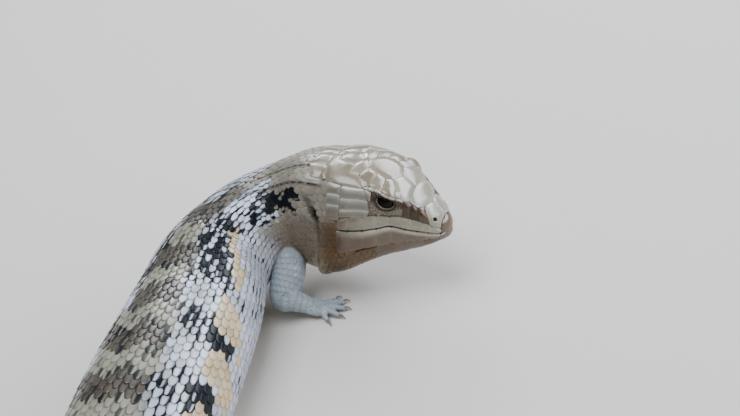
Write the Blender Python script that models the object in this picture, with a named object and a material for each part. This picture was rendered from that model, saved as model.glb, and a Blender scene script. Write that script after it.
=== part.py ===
# Blue-tongued skink, a still life-size model: torso along +X, neck bent to the animal's right.
# Sizes are in millimetres and become metres as each mesh is made. A station is a distance
# behind the snout tip, measured along the spine. +Y is the left side of the torso.
import bmesh
import bpy
import numpy as np
from math import cos, pi, radians, sin

MM = 0.001
GAP = 0.3

# Driving dimensions along the spine
HEAD_LENGTH = 57.0
HEAD_CUT = 64.0
HEAD_BLEND = (57.0, 92.0)
NECK_CUT = 84.0
TORSO_CUT = 205.0
VENT = 310.0
TAIL_CUTS = (366.0, 426.0)
TOTAL_LENGTH = 484.0
BELLY_REST = 210.0

# Pose: pitch and roll of the head, and how far the spine turns between two stations
HEAD_PITCH = -10.6
HEAD_ROLL = -7.9
ROLL_ENDS = (57.0, 110.0)
HEAD_TURN = -101.7
TURNS = (
    (57.0, 110.0, -0.555 * HEAD_TURN),
    (100.0, 142.5, -0.445 * HEAD_TURN),
    (215.0, 300.0, -24.0),
    (300.0, 400.0, -25.0),
    (400.0, 480.0, 30.0),
)

# Trunk sections: station, half width, height above the axis, depth below it, axis height
TRUNK = np.array((
    (57, 20.5, 18.0, 28.0, 42.2),
    (73, 19.3, 18.0, 36.5, 39.9),
    (95, 21.1, 20.0, 23.5, 35.7),
    (120, 25.2, 23.0, 22.0, 28.7),
    (160, 30.0, 26.0, 25.0, 23.5),
    (210, 32.2, 27.0, 26.0, 23.5),
    (260, 29.1, 25.0, 24.0, 22.0),
    (295, 21.7, 20.5, 20.0, 18.0),
    (318, 16.5, 17.0, 16.0, 15.0),
    (370, 12.2, 13.5, 12.5, 12.0),
    (430, 7.4, 8.5, 7.7, 7.5),
    (470, 3.5, 4.0, 3.7, 3.6),
    (484, 0.9, 1.0, 1.0, 1.0),
), float)
ROUNDNESS = 2.25

# Head lines by distance behind the snout tip: how far out, and how high over the mouth plane
HEAD_AT = np.array((0, 3, 8, 15, 24, 34, 45, 57), float)
HEAD_LINES = (
    ("crest", (0, 0, 0, 0, 0, 0, 0, 0), (2.4, 5.8, 10.2, 15.4, 20.6, 23.6, 24.2, 22.6)),
    ("brow", (0, 4.4, 7.2, 10.6, 14.4, 16.0, 16.8, 15.6), (1.8, 4.8, 8.6, 13.4, 18.4, 20.4, 20.2, 17.6)),
    ("cheek", (0, 6.4, 9.2, 11.6, 15.0, 18.4, 21.2, 20.2), (0.4, 2.0, 4.2, 6.0, 8.2, 8.4, 7.2, 5.0)),
    ("lip", (0, 7.0, 10.3, 12.9, 16.0, 19.4, 22.3, 20.6), (-1.2, -0.8, -0.3, 0, -0.3, -0.8, -1.5, -3)),
    ("jaw", (0, 5.6, 8.6, 11.2, 14.0, 16.6, 18.6, 19.2), (-3.2, -4.8, -6.8, -8.9, -11.4, -14.2, -16.8, -18.5)),
    ("throat", (0, 0, 0, 0, 0, 0, 0, 0), (-3.6, -5.8, -8.2, -10.6, -13.6, -17.0, -20.4, -21)),
)
LINE_ANGLES = (0, 36, 66, 92, 128, 180)
THROAT_BULGE = 13.0
THROAT_BULGE_AT = 56.0
THROAT_BULGE_LENGTH = 23.0

# The mouth: where its line runs, counted in head lines from the crest, its size, and where it fades out
MOUTH_AT = (0, 4, 8, 14.5, 22, 28, 37, 45)
MOUTH_LINE = (3.0, 2.9, 2.8, 2.75, 2.6, 2.78, 2.92, 2.9)
MOUTH_MIDDLE = 2.8
MOUTH_DEPTH = 0.7
LIP_SWELL = 0.35
MOUTH_FADE = (43.0, 46.5)
# Points of a head ring, in head lines: above the mouth, from the mouth's own line, and below it
ABOVE_MOUTH = (0, 0.33, 0.66, 1.0, 1.33, 1.66, 2.0, 2.3, 2.58)
ROUND_MOUTH = ((-0.17, -LIP_SWELL), (-0.07, 0.0), (0.0, MOUTH_DEPTH), (0.06, 0.0), (0.14, -LIP_SWELL))
BELOW_MOUTH = (3.35, 3.7, 4.1, 4.55)

# Eyes, ears and nostrils, each placed by its station and its place between the head lines
EYE_PLACE = (24.0, 1.36)
EYE_RADIUS = 4.7
EYE_SUNK = 4.1
LID_THICKNESS = 0.9
LID_FLATNESS = 0.94
LID_OPENING = (8.2, 5.2)
OPENING_DEPTHS = (1.2, 5.0, 9.0)
OPENING_POINT = 1.25
EAR_PLACE = (56.0, 2.25)
EAR_SIZE = (9.0, 3.2, 5.0)
EAR_LEAN = 0.30
NOSTRIL_PLACE = (5.0, 1.15)
NOSTRIL_SIZE = (2.34, 1.8, 2.88)

# Shields of the head: (station, line) corners on the left side, mirrored for the right
PLATE_RISE = 0.45
PLATE_ROOT = 0.9
PLATE_SEAM = 0.4
PLATE_POINT_SPACING = (5.0, 0.5)
MIDLINE_PLATES = {
    "rostral": ((0.5, 0.9), (0.5, 2.6), (3.0, 2.6), (3.0, 0.9)),
    "frontonasal": ((8.6, 0.0), (10.4, 0.62), (15.4, 0.62), (17.2, 0.0)),
    "frontal": ((23.0, 0.0), (24.6, 0.34), (28.0, 0.42), (36.0, 0.30), (40.6, 0.0)),
    "interparietal": ((41.2, 0.0), (43.4, 0.26), (50.8, 0.16), (52.4, 0.0)),
}
SIDE_PLATES = {
    "nasal": ((3.6, 0.25), (3.8, 1.0), (9.0, 1.05), (9.8, 0.66), (8.0, 0.12)),
    "prefrontal": ((17.6, 0.04), (15.8, 0.66), (18.4, 0.86), (23.6, 0.40), (22.4, 0.04)),
    "supraocular_first": ((18.8, 0.88), (24.2, 0.40), (27.0, 0.46), (26.2, 0.90), (22.0, 0.96)),
    "supraocular_second": ((26.6, 0.90), (27.4, 0.46), (32.4, 0.40), (32.2, 0.88)),
    "supraocular_third": ((32.8, 0.88), (33.0, 0.40), (36.4, 0.34), (38.0, 0.62), (36.8, 0.88)),
    "frontoparietal": ((36.8, 0.32), (40.8, 0.02), (43.0, 0.27), (42.6, 0.56), (38.4, 0.62)),
    "parietal": (
        (37.4, 0.90), (38.6, 0.66), (43.0, 0.60), (43.8, 0.28),
        (51.4, 0.18), (54.6, 0.42), (53.0, 0.78), (46.0, 0.92),
    ),
    "nuchal": ((52.8, 0.04), (51.8, 0.16), (55.2, 0.44), (59.6, 0.40), (60.4, 0.04)),
    "temporal_upper": ((34.4, 0.98), (45.4, 0.98), (45.4, 1.30), (34.2, 1.34)),
    "temporal_lower": ((32.6, 1.40), (45.0, 1.36), (44.6, 1.70), (31.8, 1.74)),
    "temporal_rear": ((46.2, 0.98), (53.0, 0.86), (53.4, 1.26), (46.2, 1.30)),
    "temporal_last": ((45.8, 1.36), (53.0, 1.32), (52.0, 1.72), (45.4, 1.72)),
    "loreal": ((10.2, 0.96), (15.6, 0.98), (16.4, 1.62), (10.4, 1.60)),
}

# Legs: points by station, forward of it, out to the side, and height, with the half thickness
SHOULDER = 97.0
HIP = 291.0
FORELEG_RIGHT = (
    (3.0, 5.0, 31.0, 6.6), (7.0, 11.0, 28.0, 7.2), (6.8, 17.4, 24.5, 7.8), (2.8, 23.2, 18.5, 7.8),
    (-4.2, 28.4, 11.2, 6.6), (-1.4, 31.2, 9.2, 5.6), (1.8, 33.2, 6.8, 4.6), (4.8, 34.6, 4.6, 3.8),
)
FORELEG_LEFT = (
    (0.0, 4.0, 31.0, 6.8), (0.0, 12.0, 27.0, 7.2), (-3.0, 20.0, 21.0, 7.4), (-8.0, 26.0, 15.0, 7.0),
    (-10.0, 31.0, 10.6, 6.0), (-5.0, 35.0, 8.0, 5.0), (0.5, 37.5, 5.8, 4.1), (4.0, 39.0, 4.2, 3.7),
)
HINDLEG = (
    (0.0, 4.0, 17.0, 7.6), (1.0, 10.0, 16.5, 8.4), (5.0, 19.0, 15.0, 8.4), (9.5, 26.5, 13.2, 7.4),
    (9.0, 32.0, 11.0, 6.4), (2.5, 34.5, 8.6, 5.2), (-3.6, 35.5, 6.2, 4.3), (-6.0, 37.5, 4.2, 4.0),
)
ELBOW = 4
# Round a leg the body is cut away this far along its spine, and the floor this far about the foot
BODY_REACH = 38.0
FLOOR_BOX = (180.0, 180.0, 30.0)

# Feet: the palm's reach, height, half thicknesses, and how flat and how wide it is
PALM_REACH = 5.2
PALM_HEIGHT = 2.4
PALM_THICK = (3.7, 3.9, 3.5)
PALM_FLAT = 0.72
PALM_WIDE = 1.35
# A toe's root starts behind the palm's end; its knuckle is a share of its length out
TOE_ROOT_BACK = 1.5
TOE_ROOT_OUT = 1.0
TOE_ROOT_HEIGHT = 2.3
KNUCKLE_SHARE = 0.45
KNUCKLE_RISE = 2.0
TOE_SINK = 0.35
TOE_TAPER = (1.1, 1.0, 0.8)
# A claw starts inside the toe's tip, bends over and ends on the floor
CLAW_LENGTH = 3.4
CLAW_BACK = 0.6
CLAW_LIFT = 0.25
CLAW_BEND = (0.55, 0.35)
CLAW_THICK = (0.85, 0.64, 0.28)
# Toes: turn from the way the foot points, length, half thickness
FORE_TOES = ((-52, 8.2, 1.35), (-22, 10.2, 1.5), (2, 11.0, 1.5), (25, 10.6, 1.45), (47, 8.6, 1.35))
HIND_TOES = ((-48, 8.0, 1.45), (-22, 10.8, 1.55), (2, 13.2, 1.6), (24, 14.6, 1.6), (58, 9.4, 1.45))
# The way each foot points, turned outwards from straight ahead of its station
FOOT_TURNS = {"foreleg_right": 34.0, "foreleg_left": 40.0, "hindleg_right": 42.0, "hindleg_left": 42.0}

# Mesh fineness
SNOUT_STATIONS = (0.12, 0.9)
HEAD_START = 2.2
HEAD_STEP = 2.5
NECK_STEP = 3.4
FRONT_STEP = 4.93
BODY_STEP = 5.8
CUTTER_STEP = 4.0
BODY_SIDES = 32
CUTTER_SIDES = 48
TAIL_SIDES = (28, 24, 18)
LIMB_SIDES = 12
TOE_SIDES = 7
CLAW_SIDES = 5
LID_SIDES = 20
SOCKET_SIDES = 16
OPENING_SIDES = 16
EAR_SIDES = 12
NOSTRIL_SIDES = 8
BALL_REACH = (0.5, 0.8)
BLUNT_REACH = (0.65,)
MERGE = 0.000002

# Colour and roughness of each kind of surface
LOOKS = {
    "head": ((0.45, 0.40, 0.30), 0.35),
    "neck": ((0.42, 0.40, 0.35), 0.45),
    "torso": ((0.38, 0.36, 0.32), 0.45),
    "tail": ((0.36, 0.34, 0.30), 0.45),
    "leg": ((0.36, 0.40, 0.43), 0.45),
    "eye": ((0.02, 0.015, 0.012), 0.08),
}


def clear_scene():
    for item in list(bpy.data.objects):
        bpy.data.objects.remove(item, do_unlink=True)


def new_collection(name):
    made = bpy.data.collections.new(name)
    bpy.context.scene.collection.children.link(made)
    return made


def move_to(item, collection):
    for holder in list(item.users_collection):
        holder.objects.unlink(item)
    collection.objects.link(item)


def surface(name, colour, roughness):
    made = bpy.data.materials.new(name)
    made.use_nodes = True
    shader = made.node_tree.nodes["Principled BSDF"]
    shader.inputs["Base Color"].default_value = (*colour, 1.0)
    shader.inputs["Roughness"].default_value = roughness
    shader.inputs["Metallic"].default_value = 0.0
    return made


def ease(start, end, x):
    """0 before start, 1 after end, and a smooth rise between."""
    t = np.clip((x - start) / (end - start), 0, 1)
    return t * t * (3 - 2 * t)


def smooth_through(xs, ys, x):
    """A curve through the points that never overshoots them."""
    xs, ys, x = (np.asarray(v, float) for v in (xs, ys, x))
    step = np.diff(xs)
    slope = np.diff(ys) / step
    tangent = np.zeros_like(xs)
    for i in range(1, len(xs) - 1):
        if slope[i - 1] * slope[i] > 0:
            before = 2 * step[i] + step[i - 1]
            after = step[i] + 2 * step[i - 1]
            tangent[i] = (before + after) / (before / slope[i - 1] + after / slope[i])
    tangent[0], tangent[-1] = slope[0], slope[-1]
    i = np.clip(np.searchsorted(xs, x) - 1, 0, len(xs) - 2)
    t = (np.clip(x, xs[0], xs[-1]) - xs[i]) / step[i]
    start = ys[i] * (1 + 2 * t) * (1 - t) ** 2 + tangent[i] * step[i] * t * (1 - t) ** 2
    end = ys[i + 1] * t * t * (3 - 2 * t) + tangent[i + 1] * step[i] * t * t * (t - 1)
    return start + end


def heading(s):
    """Direction of the spine at station s, in radians from +X."""
    turn = sum(angle * (ease(a, b, s) - (1 if a < BELLY_REST else 0)) for a, b, angle in TURNS)
    return np.radians(turn)


def walk_spine():
    """The spine's points and tangents at every millimetre of station."""
    s = np.arange(0, TOTAL_LENGTH + 1)
    rise = sin(radians(HEAD_PITCH))
    height = smooth_through(np.r_[50, TRUNK[:, 0]], np.r_[TRUNK[0, 4] + 7 * rise, TRUNK[:, 4]], s)
    height = np.where(s < HEAD_LENGTH, TRUNK[0, 4] + (HEAD_LENGTH - s) * rise, height)
    slope = -np.gradient(height, s)
    flat = np.sqrt(np.clip(1 - slope ** 2, 0.2, 1))
    tangent = np.stack([flat * np.cos(heading(s)), flat * np.sin(heading(s)), slope], 1)
    centre = np.zeros((len(s), 3))
    centre[1:] = -np.cumsum((tangent[1:] + tangent[:-1]) / 2, 0)
    centre -= centre[int(BELLY_REST)]
    centre[:, 2] = height
    return s, centre, tangent


SPINE_S, SPINE_CENTRE, SPINE_TANGENT = walk_spine()


def spine_frame(s):
    """Centre, forward, left and up at each station."""
    centre = np.stack([np.interp(s, SPINE_S, SPINE_CENTRE[:, i]) for i in range(3)], -1)
    forward = np.stack([np.interp(s, SPINE_S, SPINE_TANGENT[:, i]) for i in range(3)], -1)
    forward /= np.linalg.norm(forward, axis=-1, keepdims=True)
    turn = heading(s)
    left = np.stack([-np.sin(turn), np.cos(turn), 0 * turn], -1)
    up = np.cross(forward, left)
    roll = (np.radians(HEAD_ROLL) * (1 - ease(*ROLL_ENDS, s)))[..., None]
    left = left * np.cos(roll) + up * np.sin(roll)
    return centre, forward, left, np.cross(forward, left)


def through(points, i, t):
    """A point on the smooth curve that runs through neighbouring points."""
    p0, p1, p2, p3 = (points(i + k) for k in (-1, 0, 1, 2))
    bend = 2 * p0 - 5 * p1 + 4 * p2 - p3
    twist = 3 * p1 - p0 - 3 * p2 + p3
    return 0.5 * (2 * p1 + (p2 - p0) * t + bend * t ** 2 + twist * t ** 3)


def head_section(s, line):
    """Points of the head's outline, left and up, at fractional line numbers 0 to 10."""
    at = np.sqrt(np.clip(s, 0, HEAD_LENGTH))
    bulge = THROAT_BULGE * np.exp(-((s - THROAT_BULGE_AT) / THROAT_BULGE_LENGTH) ** 2)
    half = []
    for name, out, high in HEAD_LINES:
        out = smooth_through(np.sqrt(HEAD_AT), out, at)
        high = smooth_through(np.sqrt(HEAD_AT), high, at)
        high = high - bulge * {"throat": 1.0, "jaw": 0.75}.get(name, 0.0)
        half.append(np.stack([out, high], -1))
    mirror = np.array((-1.0, 1.0))
    lines = np.stack(half + [p * mirror for p in half[4:0:-1]], 1)
    i = np.floor(line).astype(int)
    t = (line - i)[..., None]
    rows = np.arange(len(s))[:, None]
    return through(lambda k: lines[rows, k % 10], i, t)


def trunk_section(s, line):
    """Points of the trunk's rounded outline, left and up, at the same line numbers."""
    angles = np.radians(LINE_ANGLES)
    around = np.r_[angles, 2 * pi - angles[4:0:-1], 2 * pi]
    phi = np.interp(line, np.arange(11), around)
    width, above, below = (smooth_through(TRUNK[:, 0], TRUNK[:, k], s)[:, None] for k in (1, 2, 3))
    power = 2 / ROUNDNESS
    out = width * np.sign(np.sin(phi)) * np.abs(np.sin(phi)) ** power
    reach = np.where(np.cos(phi) > 0, above, below)
    high = reach * np.sign(np.cos(phi)) * np.abs(np.cos(phi)) ** power
    return np.stack([out, high], -1)


def skin(s, line, grow=0.0):
    """Skin points for stations s and line numbers, one row for each station, grown by some millimetres."""
    s = np.asarray(s, float)
    line = np.broadcast_to(line, (len(s), np.shape(line)[-1]))
    blend = ease(*HEAD_BLEND, s)[:, None, None]
    flat = head_section(s, line) * (1 - blend) + trunk_section(s, line) * blend
    reach = np.linalg.norm(flat, axis=-1, keepdims=True)
    flat = flat * (1 + grow / np.maximum(reach, 0.5))
    centre, forward, left, up = spine_frame(s)
    points = centre[:, None] + left[:, None] * flat[..., :1] + up[:, None] * flat[..., 1:]
    points[..., 2] = np.maximum(points[..., 2], -grow)
    return points


def skin_spot(s, line):
    """One skin point with its outward normal and its forward direction along the skin."""
    near = skin([s - 0.4, s, s + 0.4], np.array([line - 0.03, line, line + 0.03]) % 10)
    along = near[0, 1] - near[2, 1]
    across = near[1, 2] - near[1, 0]
    normal = np.cross(across, along)
    normal /= np.linalg.norm(normal)
    centre = spine_frame(np.array([s]))[0][0]
    if normal @ (near[1, 1] - centre) < 0:
        normal = -normal
    return near[1, 1], normal, along / np.linalg.norm(along)


def mesh_object(name, points, faces, collection, material=None):
    """A mesh from points and faces, with its faces turned outwards."""
    mesh = bpy.data.meshes.new(name)
    mesh.from_pydata([tuple(p * MM) for p in points], [], faces)
    work = bmesh.new()
    work.from_mesh(mesh)
    bmesh.ops.recalc_face_normals(work, faces=work.faces)
    work.to_mesh(mesh)
    work.free()
    mesh.update()
    made = bpy.data.objects.new(name, mesh)
    if material:
        mesh.materials.append(material)
    collection.objects.link(made)
    return made


def loft(name, rings, collection, material=None):
    """A closed solid through the rings, with a fan of faces over each end."""
    count, sides = rings.shape[:2]
    points = list(rings.reshape(-1, 3)) + [rings[0].mean(0), rings[-1].mean(0)]
    faces = []
    for i in range(count - 1):
        for j in range(sides):
            k = (j + 1) % sides
            faces.append((i * sides + j, i * sides + k, (i + 1) * sides + k, (i + 1) * sides + j))
    first, last = count * sides, count * sides + 1
    for j in range(sides):
        k = (j + 1) % sides
        faces.append((first, k, j))
        faces.append((last, (count - 1) * sides + j, (count - 1) * sides + k))
    return mesh_object(name, points, faces, collection, material)


def ball(name, centre, axes, sizes, collection, segments):
    """An ellipsoid whose half sizes lie along three directions."""
    bpy.ops.mesh.primitive_uv_sphere_add(segments=segments, ring_count=segments // 2, radius=1.0)
    made = bpy.context.object
    made.name = name
    frame = np.array(axes, float).T * np.array(sizes, float)
    if np.linalg.det(frame) < 0:
        frame[:, 1] *= -1
    for vertex in made.data.vertices:
        vertex.co = (frame @ np.array(vertex.co) + centre) * MM
    move_to(made, collection)
    return made


def boolean(target, others, operation, solver="EXACT"):
    """Joins or cuts a node with a group of closed shapes, then removes them."""
    group = new_collection(target.name + "_shapes")
    for other in others:
        move_to(other, group)
    modifier = target.modifiers.new("shapes", "BOOLEAN")
    modifier.operation = operation
    modifier.solver = solver
    modifier.operand_type = "COLLECTION"
    modifier.collection = group
    bpy.context.view_layer.update()
    evaluated = target.evaluated_get(bpy.context.evaluated_depsgraph_get())
    mesh = bpy.data.meshes.new_from_object(evaluated)
    target.modifiers.remove(modifier)
    target.data = mesh
    for other in others:
        bpy.data.objects.remove(other, do_unlink=True)
    bpy.data.collections.remove(group)
    keep_largest(target)


def keep_largest(item):
    """Keeps the largest closed surface of a mesh, and drops the scraps a cut leaves."""
    work = bmesh.new()
    work.from_mesh(item.data)
    bmesh.ops.remove_doubles(work, verts=work.verts, dist=MERGE)
    bmesh.ops.dissolve_degenerate(work, edges=work.edges, dist=MERGE)
    work.verts.ensure_lookup_table()
    left = set(work.verts)
    groups = []
    while left:
        stack = [left.pop()]
        group = [stack[0]]
        while stack:
            for edge in stack.pop().link_edges:
                for vertex in edge.verts:
                    if vertex in left:
                        left.remove(vertex)
                        group.append(vertex)
                        stack.append(vertex)
        groups.append(group)
    groups.sort(key=len)
    for group in groups[:-1]:
        bmesh.ops.delete(work, geom=group, context="VERTS")
    bmesh.ops.triangulate(work, faces=work.faces)
    work.to_mesh(item.data)
    work.free()


def plate(name, corners, side, collection):
    """One head shield: its corners on the skin drawn in by the seam, raised, with a sunk root."""
    ring = []
    count = len(corners)
    middle = np.mean(corners, axis=0)
    for i in range(count):
        a, b = np.array(corners[i], float), np.array(corners[(i + 1) % count], float)
        spans = np.abs(b - a) / PLATE_POINT_SPACING
        pieces = max(1, int(round(spans.sum())))
        ring += [a + (b - a) * k / pieces for k in range(pieces)]
    spots = [skin_spot(s, (side * line) % 10) for s, line in ring]
    points = np.array([p for p, n, f in spots])
    normals = np.array([n for p, n, f in spots])
    centre, normal, forward = skin_spot(middle[0], (side * middle[1]) % 10)
    inward = centre - points
    length = np.linalg.norm(inward, axis=1, keepdims=True)
    points = points + inward / length * PLATE_SEAM * 0.5
    top = points + normals * PLATE_RISE
    root = points - normals * PLATE_ROOT
    total = len(ring)
    shape = list(top) + list(root) + [centre + normal * PLATE_RISE, centre - normal * PLATE_ROOT]
    faces = []
    for i in range(total):
        j = (i + 1) % total
        faces += [(2 * total, i, j), (i, total + i, total + j, j), (2 * total + 1, total + j, total + i)]
    return mesh_object(name, shape, faces, collection)


def head_plates(collection):
    made = []
    for name, half in MIDLINE_PLATES.items():
        other = [(s, -line) for s, line in half[::-1] if line > 0]
        made.append(plate(name, list(half) + other, 1, collection))
    for name, corners in SIDE_PLATES.items():
        for side in (1, -1):
            made.append(plate(name, corners, side, collection))
    return made


def head_rings():
    """Rings of the head, with the mouth pressed in along its line and the lips raised beside it."""
    last = HEAD_CUT - GAP / 2
    s = np.r_[SNOUT_STATIONS, np.arange(HEAD_START, last, HEAD_STEP), last]
    mouth = smooth_through(MOUTH_AT, MOUTH_LINE, s)
    fade = 1 - ease(*MOUTH_FADE, s)
    half, press = [], []
    for line in ABOVE_MOUTH:
        half.append(line + (mouth - MOUTH_MIDDLE) * ease(2.0, 2.6, line))
        press.append(0 * s)
    for offset, depth in ROUND_MOUTH:
        half.append(mouth + offset)
        press.append(depth * fade)
    for line in BELOW_MOUTH:
        half.append(line + (mouth - MOUTH_MIDDLE) * (1 - ease(3.3, 4.0, line)))
        press.append(0 * s)
    half, press = np.array(half).T, np.array(press).T
    lines = np.concatenate([half, np.full((len(s), 1), 5.0), 10 - half[:, :0:-1]], 1)
    press = np.concatenate([press, np.zeros((len(s), 1)), press[:, :0:-1]], 1)
    rings = skin(s, lines % 10)
    across = np.roll(rings, -1, 1) - np.roll(rings, 1, 1)
    along = np.gradient(rings, axis=0)
    normal = np.cross(across, along)
    normal /= np.maximum(np.linalg.norm(normal, axis=-1, keepdims=True), 1e-6)
    outward = rings - spine_frame(s)[0][:, None]
    normal *= np.sign((normal * outward).sum(-1, keepdims=True))
    return rings - normal * press[..., None]


def almond(name, centre, out, along, collection):
    """The lids' opening: a pointed oval run from the ball outwards."""
    across = np.cross(out, along)
    across /= np.linalg.norm(across)
    along = np.cross(across, out)
    wide, high = LID_OPENING
    rings = []
    for depth in OPENING_DEPTHS:
        ring = []
        for i in range(OPENING_SIDES):
            turn = 2 * pi * i / OPENING_SIDES
            x = cos(turn) * wide / 2
            y = np.sign(sin(turn)) * abs(sin(turn)) ** OPENING_POINT * high / 2
            ring.append(centre + out * depth + along * x + across * y)
        rings.append(ring)
    return loft(name, np.array(rings), collection)


def spot_on(place, side):
    """The skin spot for a station and head line, on the left side or mirrored to the right."""
    station, line = place
    return skin_spot(station, (side * line) % 10)


def eye_shapes(side, word, cutters):
    """The raised lids, the socket and opening cut into them, and where the eye's ball sits."""
    place, normal, forward = spot_on(EYE_PLACE, side)
    centre = place - normal * EYE_SUNK
    axes = (forward, np.cross(forward, normal), normal)
    socket = EYE_RADIUS + GAP
    lid = socket + LID_THICKNESS
    raised = ball("lid_" + word, centre, axes, (lid, lid * LID_FLATNESS, lid), cutters, LID_SIDES)
    hollow = ball("socket_" + word, centre, axes, (socket,) * 3, cutters, SOCKET_SIDES)
    opening = almond("opening_" + word, centre, normal, forward, cutters)
    return raised, [hollow, opening], centre, axes


def ear_cup(side, word, cutters):
    """A shallow upright cup that leans back."""
    place, normal, forward = spot_on(EAR_PLACE, side)
    tall = np.cross(forward, normal)
    tall = tall * np.sign(tall[2]) - forward * EAR_LEAN
    tall /= np.linalg.norm(tall)
    axes = (tall, np.cross(tall, normal), normal)
    return ball("ear_cup_" + word, place, axes, np.array(EAR_SIZE) / 2, cutters, EAR_SIDES)


def nostril(side, word, cutters):
    place, normal, forward = spot_on(NOSTRIL_PLACE, side)
    axes = (forward, np.cross(forward, normal), normal)
    return ball("nostril_" + word, place, axes, np.array(NOSTRIL_SIZE) / 2, cutters, NOSTRIL_SIDES)


def build_head(parts, cutters, skin_look, eye_look):
    head = loft("head", head_rings(), parts, skin_look)
    shapes = head_plates(cutters)
    cuts = []
    for side, word in ((1, "left"), (-1, "right")):
        raised, hollows, centre, axes = eye_shapes(side, word, cutters)
        shapes.append(raised)
        cuts += [*hollows, ear_cup(side, word, cutters), nostril(side, word, cutters)]
        eye = ball("eye_" + word, centre, axes, (EYE_RADIUS,) * 3, parts, LID_SIDES)
        eye.data.materials.append(eye_look)
        eye.data.shade_smooth()
    # The exact solver leaves the many overlapping plates touching themselves, so the head takes the other
    boolean(head, shapes, "UNION", "MANIFOLD")
    boolean(head, cuts, "DIFFERENCE", "MANIFOLD")


def body_rings(start, end, step, sides, grow=0.0):
    """Evenly spaced rings of the skin between two stations."""
    count = max(2, int(round((end - start) / step)) + 1)
    return skin(np.linspace(start, end, count), np.arange(sides) * 10 / sides, grow)


def build_body(parts, looks):
    half = GAP / 2
    neck = body_rings(HEAD_CUT + half, NECK_CUT - half, NECK_STEP, BODY_SIDES)
    loft("neck", neck, parts, looks["neck"])
    front = body_rings(NECK_CUT + half, TORSO_CUT - half, FRONT_STEP, BODY_SIDES)
    loft("torso_front", front, parts, looks["torso"])
    rear = body_rings(TORSO_CUT + half, VENT - half, BODY_STEP, BODY_SIDES)
    loft("torso_rear", rear, parts, looks["torso"])
    bounds = (VENT, *TAIL_CUTS, TOTAL_LENGTH)
    names = ("tail_base", "tail_middle", "tail_tip")
    for name, start, end, sides in zip(names, bounds, bounds[1:], TAIL_SIDES):
        last = end - half if end < TOTAL_LENGTH else end
        loft(name, body_rings(start + half, last, BODY_STEP, sides), parts, looks["tail"])


def beside(station, side, forward, out, high):
    """A point by its station: forward of it, out to one side, and at a height over the floor."""
    centre = spine_frame(np.array([station]))[0][0]
    turn = float(heading(np.array([station]))[0])
    ahead = np.array((cos(turn), sin(turn), 0.0))
    leftward = np.array((-sin(turn), cos(turn), 0.0))
    return np.array((centre[0], centre[1], high)) + ahead * forward + leftward * out * side


def limb(name, path, radii, sides, collection, reach=BALL_REACH, flat=1.0, wide=1.0, pieces=1):
    """A tapering limb through a path of points, with both ends closed and rounded over their reach."""
    path, radii = np.array(path, float), np.array(radii, float)
    count = len(path)
    at = np.linspace(0, count - 1, (count - 1) * pieces + 1)
    i = np.clip(at.astype(int), 0, count - 2)
    centres = through(lambda k: path[np.clip(k, 0, count - 1)], i, (at - i)[:, None])
    sizes = smooth_through(np.arange(count), radii, at)
    direction = np.gradient(centres, axis=0)
    direction /= np.linalg.norm(direction, axis=1, keepdims=True)
    reach = np.array(reach)
    starts = centres[0] - direction[0] * sizes[0] * reach[::-1, None]
    ends = centres[-1] + direction[-1] * sizes[-1] * reach[:, None]
    ending = np.sqrt(1 - reach ** 2)
    centres = np.vstack([starts, centres, ends])
    sizes = np.r_[sizes[0] * ending[::-1], sizes, sizes[-1] * ending]
    direction = np.vstack([direction[:1]] * len(reach) + [direction] + [direction[-1:]] * len(reach))
    turns = 2 * pi * np.arange(sides) / sides
    rings = []
    for centre, size, ahead in zip(centres, sizes, direction):
        sideways = np.cross((0, 0, 1.0), ahead)
        sideways /= np.linalg.norm(sideways)
        over = np.cross(ahead, sideways)
        outward = sideways * (wide * size * np.cos(turns))[:, None]
        rings.append(centre + outward + over * (flat * size * np.sin(turns))[:, None])
    return loft(name, np.array(rings), collection)


def at_height(point, height):
    return np.array((point[0], point[1], height))


def claw(tip, way, cutters):
    base = tip - way * CLAW_BACK
    base[2] += CLAW_LIFT
    share, rise = CLAW_BEND
    bend = base + way * CLAW_LENGTH * share
    bend[2] += rise
    point = at_height(base + way * CLAW_LENGTH, CLAW_THICK[-1])
    return limb("claw", [base, bend, point], CLAW_THICK, CLAW_SIDES, cutters, BLUNT_REACH)


def foot_shapes(wrist, ahead, side, toes, cutters):
    """Palm, toes and claws of one foot, set round the way the foot points."""
    leftward = np.cross((0, 0, 1.0), ahead)
    palm = at_height(wrist + ahead * PALM_REACH, PALM_HEIGHT)
    path = [wrist, (wrist + palm) / 2, palm]
    shapes = [limb("palm", path, PALM_THICK, LIMB_SIDES, cutters, flat=PALM_FLAT, wide=PALM_WIDE)]
    for turn, length, thick in toes:
        angle = radians(turn) * -side
        way = ahead * cos(angle) + leftward * sin(angle)
        root = at_height(palm - ahead * TOE_ROOT_BACK + way * TOE_ROOT_OUT, TOE_ROOT_HEIGHT)
        knuckle = at_height(root + way * length * KNUCKLE_SHARE, thick * KNUCKLE_RISE)
        tip = at_height(root + way * length, thick - TOE_SINK)
        sizes = thick * np.array(TOE_TAPER)
        shapes.append(limb("toe", [root, knuckle, tip], sizes, TOE_SIDES, cutters, BLUNT_REACH, pieces=2))
        shapes.append(claw(tip, way, cutters))
    return shapes


def floor_cutter(middle, cutters):
    """A box under the floor's level, which leaves the foot's flat rests."""
    wide, long, deep = FLOOR_BOX
    bpy.ops.mesh.primitive_cube_add(size=1.0)
    made = bpy.context.object
    made.name = "floor_cutter"
    for vertex in made.data.vertices:
        x, y, z = vertex.co
        vertex.co = np.array((middle[0] + x * wide, middle[1] + y * long, (z - 0.5) * deep)) * MM
    move_to(made, cutters)
    return made


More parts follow.
